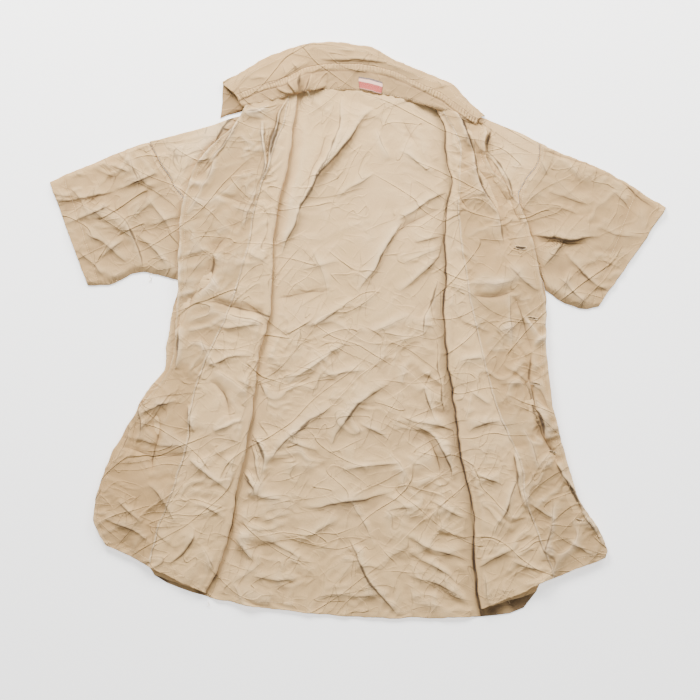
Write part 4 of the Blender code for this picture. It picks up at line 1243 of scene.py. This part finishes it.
def sleeve_tube(name, table, body_table, creases, outward, seed, node):
    count = ARMHOLE_SECTIONS * 6
    arm_at = np.linspace(0, ARMHOLE_SECTIONS, count + 1)
    arm = table_at(body_table, arm_at)
    armhole = np.concatenate([arm.side_x, arm.side_y], axis=1)
    spread = np.linspace(0, 1, count + 1)
    chord = armhole[0] + (armhole[-1] - armhole[0]) * spread[:, None]
    length = np.linalg.norm(armhole[-1] - armhole[0])
    rim = SLEEVE_RIM / length
    share = np.concatenate([[0.0, rim / 3], np.linspace(rim, 1 - rim, SLEEVE_SHARES), [1 - rim / 3, 1.0]])
    at = np.linspace(0, len(table) - 1, SLEEVE_STATIONS)
    row = table_at(table, at)
    top = corner(row.top_x, row.top_y)
    low = corner(row.low_x, row.low_y)
    bulge = np.stack([np.interp(share, spread, (armhole - chord)[:, k]) for k in (0, 1)], axis=-1)
    fade = 1 - ease(0, len(table) - 1, at)
    place = top + (low - top) * share[None, :, None] + bulge[None] * fade[:, None, None]
    place[..., 0] += outward * 2 * SEAM_GAP
    width = np.linalg.norm(low - top, axis=-1)
    near_edge = np.minimum(share, 1 - share)[None, :] * width
    relief = cloth_relief(place[..., 0], place[..., 1], creases, seed, 0.8)
    calm = ease(0, 0.35, at)[:, None] * ease(0, 9, near_edge)
    along = np.linspace(0, 1, SLEEVE_STATIONS)[:, None] * 150
    hem = -0.7 * np.exp(-((along - 128) / 1.6) ** 2)
    hem = hem + 0.7 * np.exp(-((along - 6) / 2.6) ** 2) - 0.5 * np.exp(-((along - 11.5) / 1.3) ** 2)
    pucker_zone = np.exp(-((near_edge - 4) / 5.0) ** 2) * (share > 0.5)
    pucker = 0.5 * pucker_zone * np.sin(along / 0.9 + 2 * np.sin(along / 7))
    rise = soft_floor(1.8 + relief + hem, 0.1) * calm + pucker
    half = CLOTH + SEAM_GAP / 2
    round_off = np.sqrt(np.clip(near_edge / SLEEVE_RIM, 0, 1))
    upper = half + round_off * (CLOTH - 0.1) + rise
    lower_skin = half * (1 - round_off)
    outer = np.concatenate([place, lower_skin[..., None]], axis=-1), np.concatenate(
        [place, upper[..., None]], axis=-1)
    inner_place = place + (np.sign(0.5 - share) * THIN * (1 - round_off))[..., None] * (
        (low - top) / np.maximum(width, 1)[..., None])
    inner_low = lower_skin + THIN * round_off
    inner_up = upper - THIN * round_off
    inner = np.concatenate([inner_place, inner_low[..., None]], axis=-1), np.concatenate(
        [inner_place, inner_up[..., None]], axis=-1)

    def ring(pair):
        return np.concatenate([pair[0], pair[1][:, -2:0:-1]], axis=1)

    outer_ring = ring(outer)
    inner_ring = ring(inner)
    # Painted light and shade from the sleeve's relief and hem: paler on ridges, darker in valleys and in the hem's
    # grooves.
    tone = painted_relief_shade(relief * calm + 2 * hem)
    ring_tone = np.concatenate([tone, tone[:, -2:0:-1]], axis=1)
    marks = [np.concatenate([m, m[:, -2:0:-1]], axis=1) for m in crease_shade_lines(place[..., 0], place[..., 1], creases, seed)]
    around = outer_ring.shape[1]
    faces = tube_faces(SLEEVE_STATIONS, around)
    if outward > 0:
        faces = faces[:, ::-1]
    points = np.concatenate([outer_ring.reshape(-1, 3), inner_ring.reshape(-1, 3)])
    piece = make_piece(name, points, faces, outside_cloth, np.concatenate([ring_tone.ravel()] * 2),
                       marks=[np.concatenate([m.ravel()] * 2) for m in marks])
    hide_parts(node)
    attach(piece, "root")
    return piece, outer[1]


def tube_faces(count, around):
    """Quads of a tube's outer skin, inner skin and two open ends."""
    grid = np.arange(count * around).reshape(count, around)
    after = np.roll(grid, -1, axis=1)
    step = count * around
    a = grid[:-1].ravel()
    b = after[:-1].ravel()
    c = after[1:].ravel()
    d = grid[1:].ravel()
    outer = np.stack([a, b, c, d], axis=1)
    inner = np.stack([a, d, c, b], axis=1) + step
    near = np.stack([grid[0], grid[0] + step, after[0] + step, after[0]], axis=1)
    far = np.stack([grid[-1], after[-1], after[-1] + step, grid[-1] + step], axis=1)
    return np.concatenate([outer, inner, near, far])


right_sleeve, right_sleeve_top = sleeve_tube("right_sleeve_tube", RIGHT_SLEEVE, RIGHT_FRONT,
                                             RIGHT_SLEEVE_CREASES, -1, 51, "right_sleeve")
left_sleeve, left_sleeve_top = sleeve_tube("left_sleeve_tube", LEFT_SLEEVE, LEFT_FRONT,
                                           LEFT_SLEEVE_CREASES, 1, 67, "left_sleeve")
print("sleeves:", len(right_sleeve.data.polygons) + len(left_sleeve.data.polygons), "faces")

# %% [markdown]
# ## The collar
# The collar is two pieces. The leaf rolls over along the shirt's top outline and goes on
# beneath, and the stand joins it to the neck. The seam between them has shrunk in the wash,
# so a band of short ribs runs along it.

# %% Collar leaf and stand
COLLAR_STATIONS = 560
LEAF_UNDER = 10
LEAF_TOP = 24
STAND_COLUMNS = 22
RIB_PITCH = 4.4
RIB_HEIGHT = 1.7
RIB_REACH = 9.0             # width of the ribbed band


def collar_parts():
    at = np.linspace(0, len(COLLAR) - 1, COLLAR_STATIONS)
    row = table_at(COLLAR, at)
    under = corner(row.under_x, row.under_y)
    roll = corner(row.roll_x, row.roll_y)
    seam = corner(row.seam_x, row.seam_y)
    neck = corner(row.neck_x, row.neck_y)
    seam_height = np.maximum(row.lift, 2 * COLLAR_ROLL)
    out = (roll - under) / np.linalg.norm(roll - under, axis=-1, keepdims=True)
    start = roll - out * COLLAR_ROLL
    run = np.cumsum(np.concatenate([[0], np.linalg.norm(np.diff(seam[:, 0], axis=0), axis=-1)]))[:, None]
    low_share = np.linspace(0, 1, LEAF_UNDER)
    low = under + (start - under) * low_share[None, :, None]
    turn = math.pi * np.arange(1, ROLL_COLUMNS) / ROLL_COLUMNS
    bend = start + out * (COLLAR_ROLL * np.sin(turn))[None, :, None]
    bend_height = CLOTH / 2 + COLLAR_ROLL * (1 - np.cos(turn))[None, :] + 0 * run
    top_share = np.linspace(0, 1, LEAF_TOP)
    leaf_end = seam + (seam - neck) / np.linalg.norm(seam - neck, axis=-1, keepdims=True) * SEAM_GAP
    top = start + (leaf_end - start) * top_share[None, :, None]
    top_height = blend(CLOTH / 2 + 2 * COLLAR_ROLL, seam_height, top_share[None, :])
    relief = cloth_relief(top[..., 0], top[..., 1], COLLAR_CREASES, 83, 0.35)
    to_seam = np.linalg.norm(top - leaf_end, axis=-1)
    rise = soft_floor(0.8 + relief, 0.0) * ease(0, 6, np.linalg.norm(top - start, axis=-1)) * ease(0, 9, to_seam)
    low_height = np.full(low.shape[:2], CLOTH / 2)
    place = np.concatenate([low, bend, top], axis=1)
    height = np.concatenate([low_height, bend_height, top_height + rise], axis=1)
    leaf_relief = np.concatenate([low_height * 0, bend_height * 0, rise], axis=1)
    leaf = np.concatenate([place, height[..., None]], axis=-1)
    share = np.linspace(0, 1, STAND_COLUMNS)
    band = seam + (neck - seam) * share[None, :, None]
    band_height = blend(seam_height, row.lift, share[None, :])
    away = np.linalg.norm(band - seam, axis=-1)
    band_ribs = rib_relief(run, away)
    band_relief = cloth_relief(band[..., 0], band[..., 1], COLLAR_CREASES, 83, 0.3)
    band_rise = soft_floor(0.5 + band_relief, 0.0) * ease(2, 12, away)
    neck_gap = np.linalg.norm(neck - band, axis=-1)
    welt = 0.4 * np.exp(-((neck_gap - 4) / 2.0) ** 2) - 1.2 * np.exp(-(neck_gap / 2.5) ** 2)
    gathers = 0.7 * np.sin(run / 2.3 + 2.0 * np.sin(run / 17.0)) * ease(14, 0, neck_gap)
    welt = welt + gathers * (0.5 + 0.5 * np.sin(run / 29.0))
    stand = np.concatenate([band, (band_height + band_rise + band_ribs + welt)[..., None]], axis=-1)
    # The stand's ribs count five times over in the relief that its painted light and shade is read from.
    return leaf, leaf_relief, stand, band_rise + 5.0 * band_ribs


def rib_relief(run, away):
    """Short ribs across a band beside the seam, with a groove along each side of it."""
    wave = np.abs(np.sin(math.pi * run / RIB_PITCH + 0.7 * np.sin(run / 13.0))) ** 0.8
    wave = wave * (0.7 + 0.3 * np.sin(run / 9.0 + 1.5 * np.sin(run / 31.0)))
    inside = ease(0.3, 1.6, away) * ease(RIB_REACH, RIB_REACH - 1.6, away)
    groove = -0.6 * np.exp(-((away - RIB_REACH - 0.8) / 1.3) ** 2)
    return RIB_HEIGHT * wave * inside + groove


leaf, leaf_relief, stand, stand_relief = collar_parts()
# Painted shade: the leaf's turned-under columns are much darker and the stand darker, where they lie in shade; the rest
# of the leaf is painted a little darker.
leaf_dim = np.where(np.arange(leaf.shape[1]) < LEAF_UNDER + 2, 0.35, 0.84)[None, :]
for name, grid, relief, node, dim in (("collar_leaf_cloth", leaf, leaf_relief, "collar_leaf", leaf_dim),
                                      ("collar_stand_cloth", stand, stand_relief, "collar_stand", 0.56)):
    normal = skin_normals(grid)
    if normal[COLLAR_STATIONS // 2, -1, 2] < 0:
        normal = -normal
    piece = make_wall(name, grid - normal * THIN / 2, grid + normal * THIN / 2, outside_cloth,
                      dim * painted_relief_shade(relief, 4), None,
                      crease_shade_lines(grid[..., 0], grid[..., 1], COLLAR_CREASES, 83, 0.15))
    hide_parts(node)
    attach(piece, "root")
stand_top = stand + np.array([0, 0, THIN / 2])

# %% [markdown]
# ## Neck label
# A small woven label is sewn to the stand at the middle of the neck. It has a pale upper band
# and a faded red lower one. It is bare, because the real one's words can't be read. It is made
# from the stand's own points, moved out by its thickness.

# %% Label
LABEL_SPAN = (6.55, 7.62)
LABEL_RISE = (0.12, 0.58)
LABEL_POINTS = (30, 16)


def grid_point(grid, row, column):
    """A point of a grid at places between its rows and columns."""
    i = np.clip(row.astype(int), 0, grid.shape[0] - 2)
    j = np.clip(column.astype(int), 0, grid.shape[1] - 2)
    fi = (row - i)[..., None]
    fj = (column - j)[..., None]
    upper = grid[i, j] * (1 - fj) + grid[i, j + 1] * fj
    lower = grid[i + 1, j] * (1 - fj) + grid[i + 1, j + 1] * fj
    return upper * (1 - fi) + lower * fi


def label_material():
    material, tree, shader = new_material("label_weave", 0.8)
    ramp = tree.nodes.new("ShaderNodeValToRGB")
    ramp.color_ramp.interpolation = "LINEAR"
    bands = [(0.0, (0.05, 0.03, 0.03)), (0.10, (0.06, 0.04, 0.04)), (0.16, (0.74, 0.44, 0.34)),
             (0.36, (0.74, 0.46, 0.36)), (0.42, (0.36, 0.022, 0.015)), (0.90, (0.42, 0.04, 0.025)),
             (0.94, (0.50, 0.28, 0.20))]
    while len(ramp.color_ramp.elements) < len(bands):
        ramp.color_ramp.elements.new(0.5)
    for element, (place, colour) in zip(ramp.color_ramp.elements, bands):
        element.position = place
        element.color = (*colour, 1.0)
    tree.links.new(attribute_node(tree, "stain").outputs["Fac"], ramp.inputs["Fac"])
    place = tree.nodes.new("ShaderNodeTexCoord").outputs["Object"]
    thread = noise_node(tree, place, 900.0, 1.0).outputs["Fac"]
    colour = mix_colour(tree, scaled_range(tree, thread, 0.35, 0.7, 0.0, 0.2), ramp.outputs["Color"],
                        (0.80, 0.66, 0.56, 1.0))
    tree.links.new(colour, shader.inputs["Base Color"])
    bump = bump_node(tree, thread, 0.5, 0.0002)
    tree.links.new(bump.outputs["Normal"], shader.inputs["Normal"])
    return material


def neck_label():
    count, rise = LABEL_POINTS
    at = np.linspace(*LABEL_SPAN, count)[:, None] * np.ones((1, rise))
    up = 1 - np.linspace(*LABEL_RISE[::-1], rise)[None, :] * np.ones((count, 1))
    up = up + 0.08 * (at - LABEL_SPAN[0])
    place = grid_point(stand_top, at / (len(COLLAR) - 1) * (COLLAR_STATIONS - 1), up * (STAND_COLUMNS - 1))
    smooth = place.copy()
    smooth[..., 2] = smoothed(place[..., 2], 3) + 0.5
    share = np.linspace(0, 1, rise)[None, :] * np.ones((count, 1))
    piece = make_wall("label_cloth", smooth, lifted(smooth, 0.45), label_material(), share, share)
    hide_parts("neck_label")
    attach(piece, "root")
    return piece


label = neck_label()
print("label size in mm:", [round(float(v / MM), 1) for v in label.dimensions])

# %% [markdown]
# ## Stitches
# Khaki drill is sewn with a slightly paler thread, about eight stitches to the inch. Each
# stitch is a short rod that sinks halfway into the cloth. A row follows a path over a piece's
# upper skin, at a set distance from its edge.

# %% Stitch rows
STITCH = 2.3
STITCH_PITCH = 3.1
STITCH_WIDE = 0.55
ROD = [(-1, -1, -0.5), (1, -1, -0.5), (1, 1, -0.5), (-1, 1, -0.5),
       (-0.8, -0.6, 0.5), (0.8, -0.6, 0.5), (0.8, 0.6, 0.5), (-0.8, 0.6, 0.5)]
ROD_FACES = [(0, 3, 2, 1), (4, 5, 6, 7), (0, 1, 5, 4), (1, 2, 6, 5), (2, 3, 7, 6), (3, 0, 4, 7)]
thread_finish = plain_cotton = cloth_material("thread_cotton", DARK, (0.62, 0.44, 0.23, 1.0),
                                              (0.74, 0.57, 0.35, 1.0), YELLOWED)


def rods(name, centres, directions, length, wide, high):
    """One mesh of small rods, each along its own direction in the cloth."""
    along = directions / np.linalg.norm(directions, axis=-1, keepdims=True)
    across = np.cross(np.array([0.0, 0.0, 1.0]), along)
    across /= np.linalg.norm(across, axis=-1, keepdims=True)
    up = np.cross(along, across)
    corners = np.array(ROD)
    points = (centres[:, None] + corners[None, :, :1] * along[:, None] * length / 2
              + corners[None, :, 1:2] * across[:, None] * wide / 2 + corners[None, :, 2:] * up[:, None] * high)
    faces = (np.arange(len(centres)) * 8)[:, None, None] + np.array(ROD_FACES)[None]
    piece = make_piece(name, points, faces.reshape(-1, 4), thread_finish,
                       np.full(len(centres) * 8, 0.8))
    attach(piece, "root")
    return piece


def stitch_centres(path):
    steps = np.linalg.norm(np.diff(path, axis=0), axis=-1)
    run = np.concatenate([[0], np.cumsum(steps)])
    places = np.arange(STITCH_PITCH, run[-1] - STITCH_PITCH, STITCH_PITCH)
    centres = np.stack([np.interp(places, run, path[:, k]) for k in range(3)], axis=-1)
    ahead = np.stack([np.interp(places + 1.2, run, path[:, k]) for k in range(3)], axis=-1)
    return centres, ahead - centres


def stitches(name, paths):
    centres, directions = zip(*[stitch_centres(path) for path in paths])
    return rods(name, np.concatenate(centres), np.concatenate(directions), STITCH, STITCH_WIDE, 0.45)


def row_path(top, distance, first=0, last=None):
    """A path across a grid, a set distance above its last row of points."""
    step = np.linalg.norm(top[-1] - top[-3], axis=-1) / 2
    columns = np.arange(top.shape[1], dtype=float)
    path = grid_point(top, top.shape[0] - 1 - distance / np.maximum(step, 0.2), columns)
    return path[first:last]


def column_path(top, distance, from_last=True, first=0.0, last=1.0):
    """A path down a grid, a set distance from its first or last column of points."""
    width = np.linalg.norm(top[:, -1] - top[:, 0], axis=-1)
    share = distance / np.maximum(width, distance + 0.1)
    share = 1 - share if from_last else share
    rows = np.arange(top.shape[0], dtype=float)
    path = grid_point(top, rows, share * (top.shape[1] - 1))
    return path[int(first * len(path)):int(last * len(path))]


open_back = back_top[:, SIDE_COLUMNS:-SIDE_COLUMNS]
back_stitches = stitches("back_hem_stitches", [row_path(open_back, 8.0, 3, -3)])
right_stitches = stitches("right_front_stitches", [row_path(right_inside_top, 8.0, 3), row_path(right_facing_top, 8.0)])
left_stitches = stitches("left_front_stitches", [row_path(left_inside_top, 8.0, 3), row_path(left_facing_top, 8.0)])
right_facing_stitches = stitches("right_facing_stitches", [
    column_path(right_facing_top, 7.0), column_path(right_facing_top, 2.0, from_last=False)])
left_facing_stitches = stitches("left_facing_stitches", [
    column_path(left_facing_top, 7.0), column_path(left_facing_top, 2.0, from_last=False)])


def ring_path(top, distance, length=150.0):
    """A path across a sleeve, a set distance from its armhole."""
    row = np.full(top.shape[1] - 8, distance / length * (top.shape[0] - 1))
    return grid_point(top, row, np.arange(4, top.shape[1] - 4, dtype=float))


sleeve_stitches = [stitches("right_sleeve_stitches", [ring_path(right_sleeve_top, d) for d in (4.0, 9.0, 128.0)]),
                   stitches("left_sleeve_stitches", [ring_path(left_sleeve_top, d) for d in (4.0, 9.0, 128.0)])]
leaf_top = leaf[:, -LEAF_TOP:] + np.array([0, 0, THIN / 2])
collar_stitches = stitches("collar_stitches", [
    column_path(leaf_top, 7.0, from_last=False, first=0.02, last=0.98),
    column_path(stand_top, 3.0, first=0.02, last=0.98)])

# %% [markdown]
# The left front carries the buttonholes, about a thumb's width inside its edge. Each is a
# slit with a border of close thread loops. The highest one is pulled a little open, so its
# slit shows dark.

# %% Buttonholes
BUTTONHOLE_HEIGHTS = [120.4, 19.0, -77.0, -175.0, -274.0]
BUTTONHOLE_LONG = 14.0
BUTTONHOLE_INSET = 20.0
LOOPS = 38
slit_finish, _, slit_shader = new_material("slit_shadow", 0.95)
slit_shader.inputs["Base Color"].default_value = (0.05, 0.03, 0.015, 1.0)


def facing_place(top, height, inset):
    path = column_path(top, inset)
    order = np.argsort(path[:, 1])
    return np.array([np.interp(height, path[order, 1], path[order, k]) for k in range(3)])


def buttonhole(number, height):
    centre = facing_place(left_facing_top, height, BUTTONHOLE_INSET)
    outer = facing_place(left_facing_top, height - 1.0, BUTTONHOLE_INSET - 6)
    along = outer - centre
    along /= np.linalg.norm(along)
    across = np.cross(np.array([0.0, 0.0, 1.0]), along)
    gap = 1.5 if number == 0 else 0.6
    turn = np.linspace(0, 2 * math.pi, LOOPS, endpoint=False)
    oval = (np.cos(turn) * BUTTONHOLE_LONG / 2)[:, None] * along
    oval = oval + (np.sin(turn) * gap)[:, None] * across
    slit = centre + oval + np.array([0, 0, 0.75])
    outward = np.cos(turn)[:, None] ** 3 * along + (np.sign(np.sin(turn)) * 1.0)[:, None] * across
    loops = centre + oval + outward * 0.8 + np.array([0, 0, 0.4])
    border = rods(f"buttonhole_{number + 1}_border", loops, outward + 1e-4, 1.6, 0.7, 0.5)
    fan = [(LOOPS, k, (k + 1) % LOOPS) for k in range(LOOPS)]
    opening = make_piece(f"buttonhole_{number + 1}_slit", np.concatenate([slit, slit.mean(0)[None]]),
                         fan, slit_finish)
    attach(opening, "root")
    return [border, opening]


buttonholes = [piece for number, height in enumerate(BUTTONHOLE_HEIGHTS) for piece in buttonhole(number, height)]
print("buttonholes:", len(BUTTONHOLE_HEIGHTS))

# %% [markdown]
# A worn shirt sheds thread. A few loose ends stick out of the underarm seams, the back hem and
# the bunched corner of the neck. Each is a thin tube through four or five points.

# %% Loose threads
LOOSE_THREADS = [
    [(318, 47, 2.5), (322, 42, 4.0), (321, 36, 3.0), (325, 33, 1.0)],
    [(306, 50, 2.0), (308, 43, 4.5), (312, 40, 3.0), (310, 33, 1.0)],
    [(330, 44, 2.5), (334, 40, 3.5), (338, 41, 2.5), (342, 37, 0.9)],
    [(-300, 84, 2.5), (-303, 78, 3.6), (-300, 74, 2.0), (-304, 71, 0.8)],
    [(-352, 78, 2.5), (-349, 72, 3.5), (-352, 68, 1.2)],
    [(222, -384, 3.0), (221, -388, 3.6), (218, -391, 2.4), (220, -396, 1.0)],
    [(-74, 345, 13.0), (-70, 340, 14.5), (-73, 334, 13.5), (-68, 330, 11.0)],
    [(-218, -392, 2.0), (-216, -396, 2.6), (-219, -399, 1.0)],
]
THREAD_RADIUS = 0.32
THREAD_SIDES = 5


def loose_thread(number, marks):
    at = np.linspace(0, len(marks) - 1, 8 * len(marks))
    centre = np.stack([curve_through(column, at) for column in zip(*marks)], axis=-1)
    along = np.gradient(centre, axis=0)
    along /= np.linalg.norm(along, axis=-1, keepdims=True)
    side = np.cross(along, np.array([0.3, 0.2, 0.93]))
    side /= np.linalg.norm(side, axis=-1, keepdims=True)
    other = np.cross(along, side)
    turn = 2 * math.pi * np.arange(THREAD_SIDES) / THREAD_SIDES
    ring = np.cos(turn)[None, :, None] * side[:, None] + np.sin(turn)[None, :, None] * other[:, None]
    points = centre[:, None] + ring * THREAD_RADIUS
    grid = np.arange(len(at) * THREAD_SIDES).reshape(len(at), THREAD_SIDES)
    after = np.roll(grid, -1, axis=1)
    faces = np.stack([grid[:-1], after[:-1], after[1:], grid[1:]], axis=-1).reshape(-1, 4)
    piece = make_piece(f"loose_thread_{number + 1}", points, faces, thread_finish, np.full(points.shape[:2], 0.7))
    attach(piece, "root")
    return piece


loose = [loose_thread(number, marks) for number, marks in enumerate(LOOSE_THREADS)]
print("loose threads:", len(loose))

# %% [markdown]


# %% [markdown]
# ## Floor, light and camera
# The picture looks straight down on a white cut-out, so the floor is pale and the camera hangs
# over the shirt's middle. One large soft light comes from beyond the collar, low enough to
# pick out the creases, and a broad second one fills the shadows.

# %% Floor
def plain_material(name, colour, roughness):
    material, _, shader = new_material(name, roughness)
    shader.inputs["Base Color"].default_value = colour
    return material


bpy.ops.mesh.primitive_plane_add(size=8.0, location=(0, 0, -0.0004))
floor = bpy.context.object
floor.name = "floor"
floor_finish = plain_material("floor_white", (0.93, 0.93, 0.93, 1.0), 0.9)
glow = floor_finish.node_tree.nodes["Principled BSDF"]
glow.inputs["Emission Color"].default_value = (1.0, 1.0, 1.0, 1.0)
glow.inputs["Emission Strength"].default_value = 1.0
floor.data.materials.append(floor_finish)

# %% Light
def area_light(name, place, size, power, colour=(1.0, 1.0, 1.0)):
    lamp = bpy.data.lights.new(name, "AREA")
    lamp.shape = "SQUARE"
    lamp.size = size
    lamp.energy = power
    lamp.color = colour
    thing = bpy.data.objects.new(name, lamp)
    thing.location = place
    thing.rotation_euler = (-thing.location).to_track_quat("-Z", "Y").to_euler()
    bpy.context.collection.objects.link(thing)
    return thing


area_light("key", (-0.65, 1.60, 1.12), 0.8, 108.0, (1.0, 0.985, 0.96))
area_light("second_key", (0.95, 1.5, 1.1), 0.9, 60.0, (1.0, 0.985, 0.96))
area_light("fill", (0.4, -0.4, 2.8), 2.6, 22.0)
world = bpy.context.scene.world or bpy.data.worlds.new("room")
bpy.context.scene.world = world
world.use_nodes = True
world.node_tree.nodes["Background"].inputs["Color"].default_value = (1.0, 1.0, 1.0, 1.0)
world.node_tree.nodes["Background"].inputs["Strength"].default_value = 0.42

# %% Camera
PICTURE_SPAN = 1.015        # metres across the square picture, at the floor
CAMERA_HEIGHT = 2.4
SENSOR = 36.0
camera_data = bpy.data.cameras.new("camera")
camera_data.sensor_width = SENSOR
camera_data.lens = SENSOR * CAMERA_HEIGHT / PICTURE_SPAN
camera = bpy.data.objects.new("camera", camera_data)
camera.location = (-0.012, -0.0288, CAMERA_HEIGHT)
bpy.context.collection.objects.link(camera)
bpy.context.scene.camera = camera
